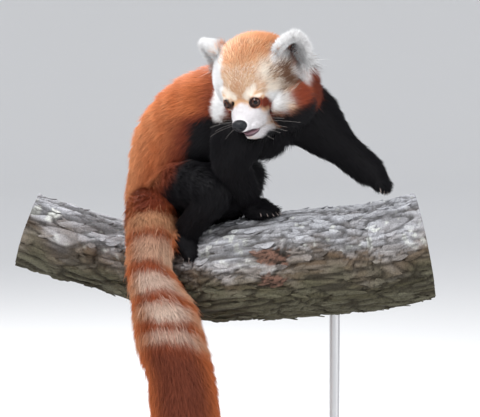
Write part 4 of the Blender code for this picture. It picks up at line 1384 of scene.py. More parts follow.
class Growth:
    """A geometry node tree whose result is read back as a plain mesh."""

    def __init__(self, name: str, inputs: dict[str, str]) -> None:
        """Starts the tree.

        Args:
            name: The tree's name.
            inputs: The kind of socket for each named input.
        """
        self.tree = bpy.data.node_groups.new(name, "GeometryNodeTree")
        sockets = self.tree.interface
        sockets.new_socket("Geometry", in_out="INPUT", socket_type="NodeSocketGeometry")
        for label, kind in inputs.items():
            sockets.new_socket(label, in_out="INPUT", socket_type=kind)
        sockets.new_socket("Geometry", in_out="OUTPUT", socket_type="NodeSocketGeometry")
        self.entry = self.tree.nodes.new("NodeGroupInput")
        self.exit = self.tree.nodes.new("NodeGroupOutput")

    def add(self, kind: str, **settings: object) -> bpy.types.Node:
        """A new node with these settings."""
        node = self.tree.nodes.new(kind)
        for name, value in settings.items():
            setattr(node, name, value)
        return node

    def wire(self, source: bpy.types.Node, output: str, target: bpy.types.Node, name: str) -> None:
        """Links an output to the enabled input of that name."""
        sockets = [socket for socket in target.inputs if socket.name == name and socket.enabled]
        outputs = [socket for socket in source.outputs if socket.name == output and socket.enabled]
        self.tree.links.new(outputs[0], sockets[0])

    def finish(self, node: bpy.types.Node, output: str) -> None:
        """Ends the tree with real geometry that has the Material input's finish."""
        real = self.add("GeometryNodeRealizeInstances")
        self.wire(node, output, real, "Geometry")
        dress = self.add("GeometryNodeSetMaterial")
        self.wire(real, "Geometry", dress, "Geometry")
        self.wire(self.entry, "Material", dress, "Material")
        self.wire(dress, "Geometry", self.exit, "Geometry")

    def run(self, thing: bpy.types.Object, values: dict[str, object]) -> None:
        """Puts the tree's result in place of the object's mesh.

        Args:
            thing: The object whose mesh the tree starts from.
            values: A value for each named input.
        """
        grow = thing.modifiers.new(self.tree.name, "NODES")
        grow.node_group = self.tree
        for item in self.tree.interface.items_tree:
            if item.in_out == "INPUT" and item.name in values:
                grow[item.identifier] = values[item.name]
        settle(thing)


def store_vectors(mesh: bpy.types.Mesh, name: str, rows: np.ndarray) -> None:
    """Stores one vector for each vertex."""
    layer = mesh.attributes.new(name, "FLOAT_VECTOR", "POINT")
    layer.data.foreach_set("vector", np.asarray(rows, np.float32).ravel())


@dataclass(frozen=True)
class BarkFinish:
    """Weathered bark whose colours are stored on its points, with sawn wood at the ends."""

    name: str = "bark"
    roughness: float = 0.88
    ring_pitch: float = 0.0058
    pale_wood: Point = (0.46, 0.30, 0.17)
    dark_wood: Point = (0.20, 0.110, 0.055)

    def material(self) -> bpy.types.Material:
        """The finish as a material."""
        made, tree, shader = Finish.start(self.name)
        nodes, links = tree.nodes, tree.links
        where = nodes.new("ShaderNodeTexCoord")
        colour = nodes.new("ShaderNodeAttribute")
        colour.attribute_name = "Bark"
        sawn = nodes.new("ShaderNodeAttribute")
        sawn.attribute_name = "Sawn"
        parts = nodes.new("ShaderNodeSeparateColor")
        links.new(sawn.outputs["Color"], parts.inputs["Color"])
        grit = nodes.new("ShaderNodeTexNoise")
        grit.inputs["Scale"].default_value = 520.0
        grit.inputs["Detail"].default_value = 6.0
        grit.inputs["Roughness"].default_value = 0.7
        links.new(where.outputs["Object"], grit.inputs["Vector"])
        speckle = nodes.new("ShaderNodeMapRange")
        speckle.inputs["From Min"].default_value = 0.3
        speckle.inputs["From Max"].default_value = 0.7
        speckle.inputs["To Min"].default_value = 0.62
        speckle.inputs["To Max"].default_value = 1.38
        links.new(grit.outputs["Fac"], speckle.inputs["Value"])
        mottled = nodes.new("ShaderNodeMix")
        mottled.data_type = "RGBA"
        mottled.blend_type = "MULTIPLY"
        mottled.inputs["Factor"].default_value = 1.0
        links.new(colour.outputs["Color"], mottled.inputs["A"])
        links.new(speckle.outputs["Result"], mottled.inputs["B"])
        turns = nodes.new("ShaderNodeMath")
        turns.operation = "MULTIPLY_ADD"
        turns.inputs[1].default_value = 0.07 * 2.0 * math.pi / self.ring_pitch
        links.new(parts.outputs["Red"], turns.inputs[0])
        wander = nodes.new("ShaderNodeTexNoise")
        wander.inputs["Scale"].default_value = 26.0
        links.new(where.outputs["Object"], wander.inputs["Vector"])
        sway = nodes.new("ShaderNodeMath")
        sway.operation = "MULTIPLY"
        sway.inputs[1].default_value = 14.0
        links.new(wander.outputs["Fac"], sway.inputs[0])
        links.new(sway.outputs["Value"], turns.inputs[2])
        rings = nodes.new("ShaderNodeMath")
        rings.operation = "SINE"
        links.new(turns.outputs["Value"], rings.inputs[0])
        share = nodes.new("ShaderNodeMapRange")
        share.inputs["From Min"].default_value = -1.0
        links.new(rings.outputs["Value"], share.inputs["Value"])
        wood = nodes.new("ShaderNodeMix")
        wood.data_type = "RGBA"
        wood.inputs["A"].default_value = (*self.dark_wood, 1.0)
        wood.inputs["B"].default_value = (*self.pale_wood, 1.0)
        links.new(share.outputs["Result"], wood.inputs["Factor"])
        both = nodes.new("ShaderNodeMix")
        both.data_type = "RGBA"
        links.new(parts.outputs["Green"], both.inputs["Factor"])
        links.new(mottled.outputs["Result"], both.inputs["A"])
        links.new(wood.outputs["Result"], both.inputs["B"])
        links.new(both.outputs["Result"], shader.inputs["Base Color"])
        bump = nodes.new("ShaderNodeBump")
        bump.inputs["Strength"].default_value = 0.55
        bump.inputs["Distance"].default_value = 0.0012
        links.new(grit.outputs["Fac"], bump.inputs["Height"])
        links.new(bump.outputs["Normal"], shader.inputs["Normal"])
        shader.inputs["Roughness"].default_value = self.roughness
        shader.inputs["Specular IOR Level"].default_value = 0.25
        return made


@dataclass
class Branch:
    """The cut length of branch: plates of bark, sawn ends, loose flakes and torn patches."""

    rings_per_span: int = 40
    sides: int = 176
    plate: float = 0.0078
    grain: float = 0.26
    crack_width: float = 0.0020
    crack_depth: float = 0.0022
    chip: float = 0.0046
    chip_depth: float = 0.0011
    inset: float = 0.0012
    lump: float = 0.0018
    cap_steps: int = 18
    bark_share: float = 0.93
    flake_density: float = 4600.0
    flake_size: Point = (0.0072, 0.0025, 0.0008)
    # Where bark is torn off in front: the middle, and how far the patch reaches along x, z.
    torn: tuple[tuple[Point, tuple[float, float]], ...] = (
        ((0.036, -0.105, 0.394), (0.020, 0.0115)),
        ((0.037, -0.100, 0.366), (0.015, 0.0100)),
    )
    seed: int = 41
    GREY: np.ndarray = field(default_factory=lambda: srgb(120, 112, 104))
    BROWN: np.ndarray = field(default_factory=lambda: srgb(92, 76, 60))
    PALE: np.ndarray = field(default_factory=lambda: srgb(178, 180, 186))
    OLIVE_AND_SHADE: np.ndarray = field(default_factory=lambda: srgb(70, 71, 52))
    LICHEN: np.ndarray = field(default_factory=lambda: srgb(206, 208, 202))
    CRACK_DARK_AND_SHADE: np.ndarray = field(default_factory=lambda: srgb(34, 28, 22))
    RUST: np.ndarray = field(default_factory=lambda: srgb(108, 80, 68))

    def build(self) -> list[bpy.types.Object]:
        """Makes the branch and its loose flakes.

        Returns:
            Both objects.
        """
        finish = BarkFinish().material()
        rows = through(BRANCH, self.rings_per_span)
        line = Line(BRANCH, 1.0, self.rings_per_span)
        turns = np.linspace(0.0, 2.0 * math.pi, self.sides, endpoint=False)
        outward = (
            line.firsts[:, None] * np.cos(turns)[None, :, None]
            + line.seconds[:, None] * np.sin(turns)[None, :, None]
        )
        walked = np.linalg.norm(np.diff(rows[:, :3], axis=0), axis=1)
        along = np.concatenate([[0.0], np.cumsum(walked)])
        radius = rows[:, 3]
        spots = np.stack(
            [
                np.repeat(along[:, None] * self.grain, self.sides, axis=1),
                radius[:, None] * np.cos(turns)[None],
                radius[:, None] * np.sin(turns)[None],
            ],
            axis=2,
        ).reshape(-1, 3)
        flat = outward.reshape(-1, 3)
        base = (rows[:, None, :3] + outward * radius[:, None, None]).reshape(-1, 3)
        height, crack, tone = self.relief(spots)
        torn, fibres = self.tear(base, spots)
        height = height * (1.0 - 0.8 * torn) + torn * (fibres * 0.0016 - 0.0030)
        places = base + flat * height[:, None]
        colours = self.colours(base, flat, crack, tone, torn, fibres)
        return self.shape(rows, line, places, flat, colours, finish)

    def relief(self, spots: np.ndarray) -> tuple[np.ndarray, np.ndarray, np.ndarray]:
        """The bark's height, cracks and plates.

        Args:
            spots: Places in the bark's own measure, short along the grain.

        Returns:
            The height over the mean, how deep in a crack each place is, and the tone of
            its plate.
        """
        draw = np.random.default_rng(self.seed)
        warps = [Waves(0.030, self.seed + k) for k in range(3)]
        bent = spots + 0.0042 * np.stack([warp.at(spots) for warp in warps], axis=1)
        first = self.cells(bent, self.plate, draw)
        second = self.cells(bent * np.array((1.7, 1.0, 1.0)), self.chip, draw)
        crack = 1.0 - smooth_step(0.0, self.crack_width, first[0])
        chips = 1.0 - smooth_step(0.0, self.crack_width * 0.5, second[0])
        height = first[1] * 0.0008 + first[2] * 0.12 - self.inset
        height += second[1] * 0.0005 - chips * self.chip_depth - crack * self.crack_depth
        height += self.lump * Waves(0.075, self.seed + 7).at(spots)
        height += 0.0004 * Waves(0.0035, self.seed + 8, 40).at(bent)
        depth = np.clip(crack + 0.5 * chips, 0.0, 1.0)
        return height, depth, 0.6 * first[1] + 0.4 * second[1]

    def cells(
        self, spots: np.ndarray, size: float, draw: np.random.Generator
    ) -> tuple[np.ndarray, np.ndarray, np.ndarray]:
        """Plates as the cells nearest to drawn middles.

        Args:
            spots: Rows of places.
            size: The mean width of a plate.
            draw: The random draw.

        Returns:
            How far each place is from its plate's edge, the plate's tone from -1 to 1, and
            how far the plate's tilt lifts it.
        """
        low, high = spots.min(axis=0), spots.max(axis=0)
        reach = high - low
        count = int(reach[0] * math.pi * 0.5 * (reach[1] + reach[2]) / size ** 2)
        turns = draw.uniform(0.0, 2.0 * math.pi, count)
        out = 0.25 * (reach[1] + reach[2]) * draw.uniform(0.88, 1.0, count)
        seeds = np.stack(
            [draw.uniform(low[0], high[0], count), out * np.cos(turns), out * np.sin(turns)], axis=1
        )
        tree = KDTree(count)
        for number, spot in enumerate(seeds):
            tree.insert(spot, number)
        tree.balance()
        found = [tree.find_n(spot, 2) for spot in spots]
        own = np.array([pair[0][1] for pair in found])
        edge = np.array([pair[1][2] - pair[0][2] for pair in found])
        tones = draw.uniform(-1.0, 1.0, count)
        tilts = unit(draw.normal(size=(count, 3))) * np.array((2.0, 1.0, 1.0))
        lift = np.sum((spots - seeds[own]) * tilts[own], axis=1)
        return edge, tones[own], lift

    def tear(self, base: np.ndarray, spots: np.ndarray) -> tuple[np.ndarray, np.ndarray]:
        """Where the bark is torn off, and the fibres that are bare there."""
        ragged = Waves(0.010, self.seed + 9).at(base)
        torn = np.zeros(len(base))
        for middle, (along, up) in self.torn:
            gap = (base - np.array(middle)) / np.array((along, 0.03, up))
            gap = np.linalg.norm(gap, axis=1) + 0.22 * ragged
            torn = np.maximum(torn, smooth_step(1.1, 0.8, gap))
        fibres = Waves(0.0026, self.seed + 10, 30).at(spots * np.array((1.4, 1.0, 1.0)))
        return torn, fibres

    def colours(
        self,
        base: np.ndarray,
        outward: np.ndarray,
        crack: np.ndarray,
        tone: np.ndarray,
        torn: np.ndarray,
        fibres: np.ndarray,
    ) -> np.ndarray:
        """The bark's colour at each place: pale above and olive below, with painted sky light and shade, and
        darkened in the cracks as painted shade.
        """
        patch = Waves(0.045, self.seed + 11).at(base)
        spot = Waves(0.012, self.seed + 12).at(base)
        found = mixed(np.tile(self.GREY, (len(base), 1)), self.BROWN, smooth_step(-1.0, 1.0, -tone))
        # Painted light and shade: the top is mixed towards a pale colour that stands for sky light as well
        # as lichen, the underside towards an olive that stands for shade as well as the bark's own colour.
        above = smooth_step(-0.10, 0.85, outward[:, 2] + 0.18 * patch + 0.25 * tone)
        found = mixed(found, self.PALE, 0.85 * above)
        below = smooth_step(0.15, -0.55, outward[:, 2] + 0.15 * patch)
        found = mixed(found, self.OLIVE_AND_SHADE, 0.75 * below)
        crust = smooth_step(0.9, 1.5, spot + 0.6 * patch) * smooth_step(-0.1, 0.5, outward[:, 2])
        found = mixed(found, self.LICHEN, 0.85 * crust)
        found *= (1.0 + 0.15 * tone)[:, None]
        # Painted shade: the cracks here, and the grooves between bare fibres below, are darkened past the
        # bark's own darker colour in them.
        found = mixed(found, self.CRACK_DARK_AND_SHADE, 0.72 * crack)
        bare = mixed(np.tile(self.RUST, (len(base), 1)), self.CRACK_DARK_AND_SHADE, smooth_step(0.7, -0.9, fibres))
        return mixed(found, bare, torn)

    def shape(
        self,
        rows: np.ndarray,
        line: Line,
        places: np.ndarray,
        outward: np.ndarray,
        colours: np.ndarray,
        finish: bpy.types.Material,
    ) -> list[bpy.types.Object]:
        """Joins the bark and the sawn ends in one closed mesh, and grows the flakes."""
        count, sides = len(rows), self.sides
        grid = np.arange(count * sides).reshape(count, sides)
        faces = [self.quads(grid)]
        points, tints = [places], [colours]
        sawn = [np.zeros((len(places), 3))]
        for end, flip in ((0, True), (count - 1, False)):
            middle = rows[end, :3]
            rim = places[grid[end]]
            before = grid[end][None]
            for step in range(1, self.cap_steps):
                share = 1.0 - step / self.cap_steps
                start = sum(len(block) for block in points)
                points.append(middle + (rim - middle) * share)
                wood = 0.0 if share > self.bark_share else 1.0
                tints.append(np.tile(self.BROWN * 0.6, (sides, 1)))
                marks = np.zeros((sides, 3))
                marks[:, 0] = share * rows[end, 3] / 0.07
                marks[:, 1] = wood
                sawn.append(marks)
                ring = np.arange(start, start + sides)[None]
                pair = np.concatenate([before, ring])
                faces.append(self.quads(pair[::-1] if flip else pair))
                before = ring
            start = sum(len(block) for block in points)
            points.append(middle[None])
            tints.append(self.BROWN[None] * 0.6)
            sawn.append(np.array([[0.0, 1.0, 0.0]]))
            after = np.roll(before[0], -1)
            fan = [before[0], after] if not flip else [after, before[0]]
            faces.append(np.stack([*fan, np.full(sides, start)], axis=1))
        mesh = bpy.data.meshes.new("branch")
        mesh.from_pydata(np.concatenate(points), [], np.concatenate(faces))
        mesh.shade_smooth()
        set_colours(mesh, "Bark", np.concatenate(tints))
        set_colours(mesh, "Sawn", np.concatenate(sawn))
        branch = link("branch", mesh)
        mesh.materials.append(finish)
        return [branch, self.flakes(grid, places, outward, colours, line, finish)]

    def quads(self, grid: np.ndarray) -> np.ndarray:
        """Two triangles for each square of a grid of rings."""
        low, high = grid[:-1], grid[1:]
        low_after, high_after = np.roll(low, -1, axis=1), np.roll(high, -1, axis=1)
        first = np.stack([low, low_after, high], axis=2).reshape(-1, 3)
        second = np.stack([low_after, high_after, high], axis=2).reshape(-1, 3)
        return np.concatenate([first, second])

    def flakes(
        self,
        grid: np.ndarray,
        places: np.ndarray,
        outward: np.ndarray,
        colours: np.ndarray,
        line: Line,
        finish: bpy.types.Material,
    ) -> bpy.types.Object:
        """Thin flakes of bark that have lifted at one edge, strewn along the grain."""
        inner = grid[12:-12]
        start = inner[0, 0]
        used = slice(start, inner[-1, -1] + 1)
        mesh = bpy.data.meshes.new("bark_flakes")
        mesh.from_pydata(places[used], [], self.quads(inner - start))
        store_vectors(mesh, "grain", np.repeat(line.ways, self.sides, axis=0)[used])
        store_vectors(mesh, "out", outward[used])
        set_colours(mesh, "Bark", colours[used] * 1.12)
        holder = link("bark_flakes", mesh)
        flake = link("flake", self.flake())
        tree = Growth(
            "strew_flakes",
            {"Flake": "NodeSocketObject", "Density": "NodeSocketFloat", "Seed": "NodeSocketInt",
             "Material": "NodeSocketMaterial"},
        )
        strew = tree.add("GeometryNodeDistributePointsOnFaces")
        tree.wire(tree.entry, "Geometry", strew, "Mesh")
        tree.wire(tree.entry, "Density", strew, "Density")
        tree.wire(tree.entry, "Seed", strew, "Seed")
        out = tree.add("GeometryNodeInputNamedAttribute", data_type="FLOAT_VECTOR")
        out.inputs["Name"].default_value = "out"
        grain = tree.add("GeometryNodeInputNamedAttribute", data_type="FLOAT_VECTOR")
        grain.inputs["Name"].default_value = "grain"
        stand = tree.add("FunctionNodeAlignRotationToVector", axis="Z")
        tree.wire(out, "Attribute", stand, "Vector")
        face_on = tree.add("FunctionNodeAlignRotationToVector", axis="X", pivot_axis="Z")
        tree.wire(stand, "Rotation", face_on, "Rotation")
        tree.wire(grain, "Attribute", face_on, "Vector")
        wobble = tree.add("FunctionNodeRandomValue", data_type="FLOAT_VECTOR")
        low, high = [socket for socket in wobble.inputs if socket.name in ("Min", "Max")][:2]
        low.default_value = (-0.30, -0.22, -0.35)
        high.default_value = (0.30, 0.10, 0.35)
        tree.wire(tree.entry, "Seed", wobble, "Seed")
        turn = tree.add("FunctionNodeRotateRotation", rotation_space="LOCAL")
        tree.wire(face_on, "Rotation", turn, "Rotation")
        tree.wire(wobble, "Value", turn, "Rotate By")
        size = tree.add("FunctionNodeRandomValue", data_type="FLOAT_VECTOR")
        low, high = [socket for socket in size.inputs if socket.name in ("Min", "Max")][:2]
        low.default_value = (0.45, 0.5, 0.7)
        high.default_value = (1.5, 1.4, 1.3)
        place = tree.add("GeometryNodeInstanceOnPoints")
        tree.wire(strew, "Points", place, "Points")
        shape = tree.add("GeometryNodeObjectInfo")
        tree.wire(tree.entry, "Flake", shape, "Object")
        tree.wire(shape, "Geometry", place, "Instance")
        tree.wire(turn, "Rotation", place, "Rotation")
        tree.wire(size, "Value", place, "Scale")
        tree.finish(place, "Instances")
        tree.run(holder, {"Flake": flake, "Density": self.flake_density, "Seed": self.seed,
                          "Material": finish})
        bpy.data.objects.remove(flake)
        return holder

    def flake(self) -> bpy.types.Mesh:
        """One flake: a thin ragged plate, bent up at its end."""
        draw = np.random.default_rng(self.seed)
        long, wide, thick = self.flake_size
        count = 9
        turns = np.linspace(0.0, 2.0 * math.pi, count, endpoint=False)
        reach = draw.uniform(0.75, 1.15, count)
        x, y = long * np.cos(turns) * reach, wide * np.sin(turns) * reach
        z = 0.10 * x ** 2 / long
        shape = bmesh.new()
        low = [shape.verts.new((a, b, c - thick)) for a, b, c in zip(x, y, z)]
        high = [shape.verts.new((a * 0.9, b * 0.9, c)) for a, b, c in zip(x, y, z)]
        top, foot = shape.verts.new((0.0, 0.0, 0.0003)), shape.verts.new((0.0, 0.0, -thick))
        for k in range(count):
            after = (k + 1) % count
            shape.faces.new((low[k], low[after], high[after], high[k]))
            shape.faces.new((high[k], high[after], top))
            shape.faces.new((low[after], low[k], foot))
        bmesh.ops.recalc_face_normals(shape, faces=shape.faces)
        return mesh_of("flake", shape)


@dataclass(frozen=True)
class GlossFinish:
    """A wet or leathery surface, in one colour or in the colours stored on its points."""

    name: str
    roughness: float
    coat: float
    colour: Point | None = None
    pebble_size: float = 0.0
    pebble_depth: float = 0.0
    specular: float = 0.5

    def material(self) -> bpy.types.Material:
        """The finish as a material."""
        made, tree, shader = Finish.start(self.name)
        if self.colour is None:
            stored = tree.nodes.new("ShaderNodeAttribute")
            stored.attribute_name = "Coat"
            tree.links.new(stored.outputs["Color"], shader.inputs["Base Color"])
        else:
            shader.inputs["Base Color"].default_value = (*self.colour, 1.0)
        shader.inputs["Roughness"].default_value = self.roughness
        shader.inputs["Coat Weight"].default_value = self.coat
        shader.inputs["Coat Roughness"].default_value = 0.03
        shader.inputs["Specular IOR Level"].default_value = self.specular
        if self.pebble_size:
            where = tree.nodes.new("ShaderNodeTexCoord")
            cells = tree.nodes.new("ShaderNodeTexVoronoi")
            cells.inputs["Scale"].default_value = 1.0 / self.pebble_size
            tree.links.new(where.outputs["Object"], cells.inputs["Vector"])
            bump = tree.nodes.new("ShaderNodeBump")
            bump.invert = True
            bump.inputs["Strength"].default_value = 0.7
            bump.inputs["Distance"].default_value = self.pebble_depth
            tree.links.new(cells.outputs["Distance"], bump.inputs["Height"])
            tree.links.new(bump.outputs["Normal"], shader.inputs["Normal"])
        return made


@dataclass
class Features:
    """The bare parts of the face: the eyes, the nose leather and the tongue."""

    pupil: float = math.radians(21.0)
    iris: float = math.radians(50.0)
    cornea: float = 0.00035
    nostril_depth: float = 0.0024
    groove_width: float = 0.0006
    groove_depth: float = 0.0006

    def build(self) -> list[tuple[bpy.types.Object, str, str]]:
        """Makes every bare part.

        Returns:
            Each part with the node that it stands for and its slot.
        """
        gloss = GlossFinish("eye", 0.08, 0.12, specular=0.22).material()
        leather = GlossFinish("nose_leather", 0.42, 0.0, (0.006, 0.007, 0.010), 0.0011, 0.0004, 0.3)
        moist = GlossFinish("tongue", 0.38, 0.3, (0.17, 0.085, 0.105), 0.0008, 0.0002)
        made = []
        for name, side in (("eye_left", 1), ("eye_right", -1)):
            eye = self.eye(name + "_ball", side)
            eye.data.materials.append(gloss)
            made.append((eye, name, "eye"))
        nose = self.nose()
        nose.data.materials.append(leather.material())
        made.append((nose, "nose", "nose_leather"))
        tongue = self.tongue()
        tongue.data.materials.append(moist.material())
        made.append((tongue, "tongue", "tongue"))
        return made

    def sphere(self, name: str, centre: Point, radii: Point) -> bpy.types.Object:
        """A fine ellipsoid in the head's frame."""
        shape = bmesh.new()
        place = Matrix.Translation(centre) @ Matrix.Diagonal((*radii, 1.0))
        bmesh.ops.create_icosphere(shape, subdivisions=5, radius=1.0, matrix=place)
        thing = link(name, mesh_of(name, shape))
        thing.data.shade_smooth()
        return thing

    def eye(self, name: str, side: int) -> bpy.types.Object:
        """One eyeball with its dark iris, its pupil and a slight cornea."""
        centre, radius = EYE
        thing = self.sphere(name, tuple(face(centre, side)), (radius,) * 3)
        places = points_of(thing.data)
        spoke = unit(places - np.array(face(centre, side)))
        gaze = unit(np.array(face(EYE_GAZE, side)))
        angle = np.arccos(np.clip(spoke @ gaze, -1.0, 1.0))
        bulge = self.cornea * smooth_step(self.iris, 0.0, angle)
        set_points(thing.data, places + spoke * bulge[:, None])
        tints = np.tile(srgb(14, 10, 9), (len(places), 1))
        iris = smooth_step(self.iris * 1.06, self.iris * 0.92, angle)
        tints = mixed(tints, srgb(66, 34, 20), iris)
        tints = mixed(tints, srgb(30, 16, 12), smooth_step(self.pupil, self.iris, angle) * iris)
        tints = mixed(tints, srgb(6, 5, 5), smooth_step(self.pupil * 1.1, self.pupil * 0.9, angle))
        set_colours(thing.data, "Coat", tints)
        thing.data.transform(head_frame())
        return thing

    def nose(self) -> bpy.types.Object:
        """The nose leather: broad, flat on top, with comma-shaped nostrils and a groove."""
        centre, radii = NOSE
        thing = self.sphere("nose_pad", (0.0, 0.0, 0.0), (1.0, 1.0, 1.0))
        ways = points_of(thing.data)
        power = 2.5
        scale = (np.abs(ways[:, 0]) ** power + np.abs(ways[:, 2]) ** power) ** (1.0 / power)
        flat = np.hypot(ways[:, 0], ways[:, 2]) / np.maximum(scale, 1e-6)
        ways = ways * np.stack([flat, np.ones(len(ways)), flat], axis=1) ** 0.6
        low = smooth_step(0.1, -1.0, ways[:, 2])
        ways[:, 0] *= 1.04 - 0.34 * low
        spots = ways * np.array(radii) * np.array((1.0, -1.0, 1.0)) * np.array((1.0, -1.0, 1.0))
        spots[:, 1] = -ways[:, 1] * radii[1] * -1.0
        front = smooth_step(-0.1, 0.5, -ways[:, 1])
        depth = np.zeros(len(ways))
        place = np.array(NOSTRIL[0]) - np.array(centre)
        for side in (1.0, -1.0):
            x = side * spots[:, 0] - place[0] - 0.0004
            z = spots[:, 2] - place[2] + 0.0002
            comma = np.hypot(x / 0.0017, (z + 0.35 * x) / 0.0012)
            slit = np.hypot((x - 0.0026) / 0.0022, (z + 0.0011) / 0.0006)
            pit = np.maximum(smooth_step(1.25, 0.6, comma), 0.6 * smooth_step(1.2, 0.5, slit))
            depth = np.maximum(depth, pit * self.nostril_depth)
        groove = np.exp(-((spots[:, 0] / self.groove_width) ** 2)) * smooth_step(0.1, -0.4, ways[:, 2])
        depth = np.maximum(depth, groove * self.groove_depth)
        spots[:, 1] += depth * front
        set_points(thing.data, spots + np.array(face(centre)))
        thing.data.transform(head_frame())
        return thing

    def tongue(self) -> bpy.types.Object:
        """The tongue's tip, with a shallow groove down its middle."""
        centre, radii = TONGUE
        thing = self.sphere("tongue_tip", tuple(face(centre)), radii)
        places = points_of(thing.data)
        across = places[:, 0] - centre[0]
        above = smooth_step(0.0, radii[2], places[:, 2] - centre[2])
        places[:, 2] -= 0.0007 * np.exp(-((across / 0.0016) ** 2)) * above
        set_points(thing.data, places)
        thing.data.transform(head_frame())
        return thing


@dataclass
class Claws:
    """The claws of all four feet, planted on points by geometry nodes."""

    rings: int = 9
    sides: int = 10
    size: float = 0.72
    colour: Point = (0.30, 0.24, 0.22)

    def build(self) -> bpy.types.Object:
        """Makes the claws.

        Returns:
            All of them as one object.
        """
        roots, aims = [], []
        for centre, toes in PAWS.values():
            for toe, way in toe_places(centre, toes):
                roots.append(toe + way * TOE_RADIUS * 0.4)
                aims.append(way)
        mesh = bpy.data.meshes.new("claws")
        mesh.from_pydata(roots, [], [])
        store_vectors(mesh, "aim", np.array(aims))
        holder = link("claws", mesh)
        claw = link("claw", self.claw())
        tree = Growth(
            "plant_claws",
            {"Claw": "NodeSocketObject", "Size": "NodeSocketFloat", "Material": "NodeSocketMaterial"},
        )
        aim = tree.add("GeometryNodeInputNamedAttribute", data_type="FLOAT_VECTOR")
        aim.inputs["Name"].default_value = "aim"
        point_out = tree.add("FunctionNodeAlignRotationToVector", axis="Y")
        tree.wire(aim, "Attribute", point_out, "Vector")
        upright = tree.add("FunctionNodeAlignRotationToVector", axis="Z", pivot_axis="Y")
        upright.inputs["Vector"].default_value = (0.0, 0.0, 1.0)
        tree.wire(point_out, "Rotation", upright, "Rotation")
        shape = tree.add("GeometryNodeObjectInfo")
        tree.wire(tree.entry, "Claw", shape, "Object")
        place = tree.add("GeometryNodeInstanceOnPoints")
        tree.wire(tree.entry, "Geometry", place, "Points")
        tree.wire(shape, "Geometry", place, "Instance")
        tree.wire(upright, "Rotation", place, "Rotation")
        tree.wire(tree.entry, "Size", place, "Scale")
        tree.finish(place, "Instances")
        horn = GlossFinish("claw_horn", 0.32, 0.2, self.colour).material()
        tree.run(holder, {"Claw": claw, "Size": self.size, "Material": horn})
        bpy.data.objects.remove(claw)
        holder.data.shade_smooth()
        return holder

    def claw(self) -> bpy.types.Mesh:
        """One curved claw along +Y from its root, hooked down."""
        shape = bmesh.new()
        hoops = []
        for i in range(self.rings):
            share = i / self.rings
            centre = Vector((0.0, 0.9 * share, -0.42 * share ** 2)) * CLAW_LENGTH
            size = CLAW_RADIUS * (1.0 - share) ** 0.65
            turns = [2.0 * math.pi * k / self.sides for k in range(self.sides)]
            spots = [Vector((0.78 * math.cos(a), 0.0, 1.1 * math.sin(a))) * size for a in turns]
            hoops.append([shape.verts.new(centre + spot) for spot in spots])
        tip = shape.verts.new(Vector((0.0, 0.9, -0.42)) * CLAW_LENGTH)
        shape.faces.new(hoops[0])
        for low, high in zip(hoops, hoops[1:]):
            for k in range(self.sides):
                after = (k + 1) % self.sides
                shape.faces.new((low[k], low[after], high[after], high[k]))
        for k in range(self.sides):
            shape.faces.new((hoops[-1][k], hoops[-1][(k + 1) % self.sides], tip))
        bmesh.ops.recalc_face_normals(shape, faces=shape.faces)
        return mesh_of("claw", shape)


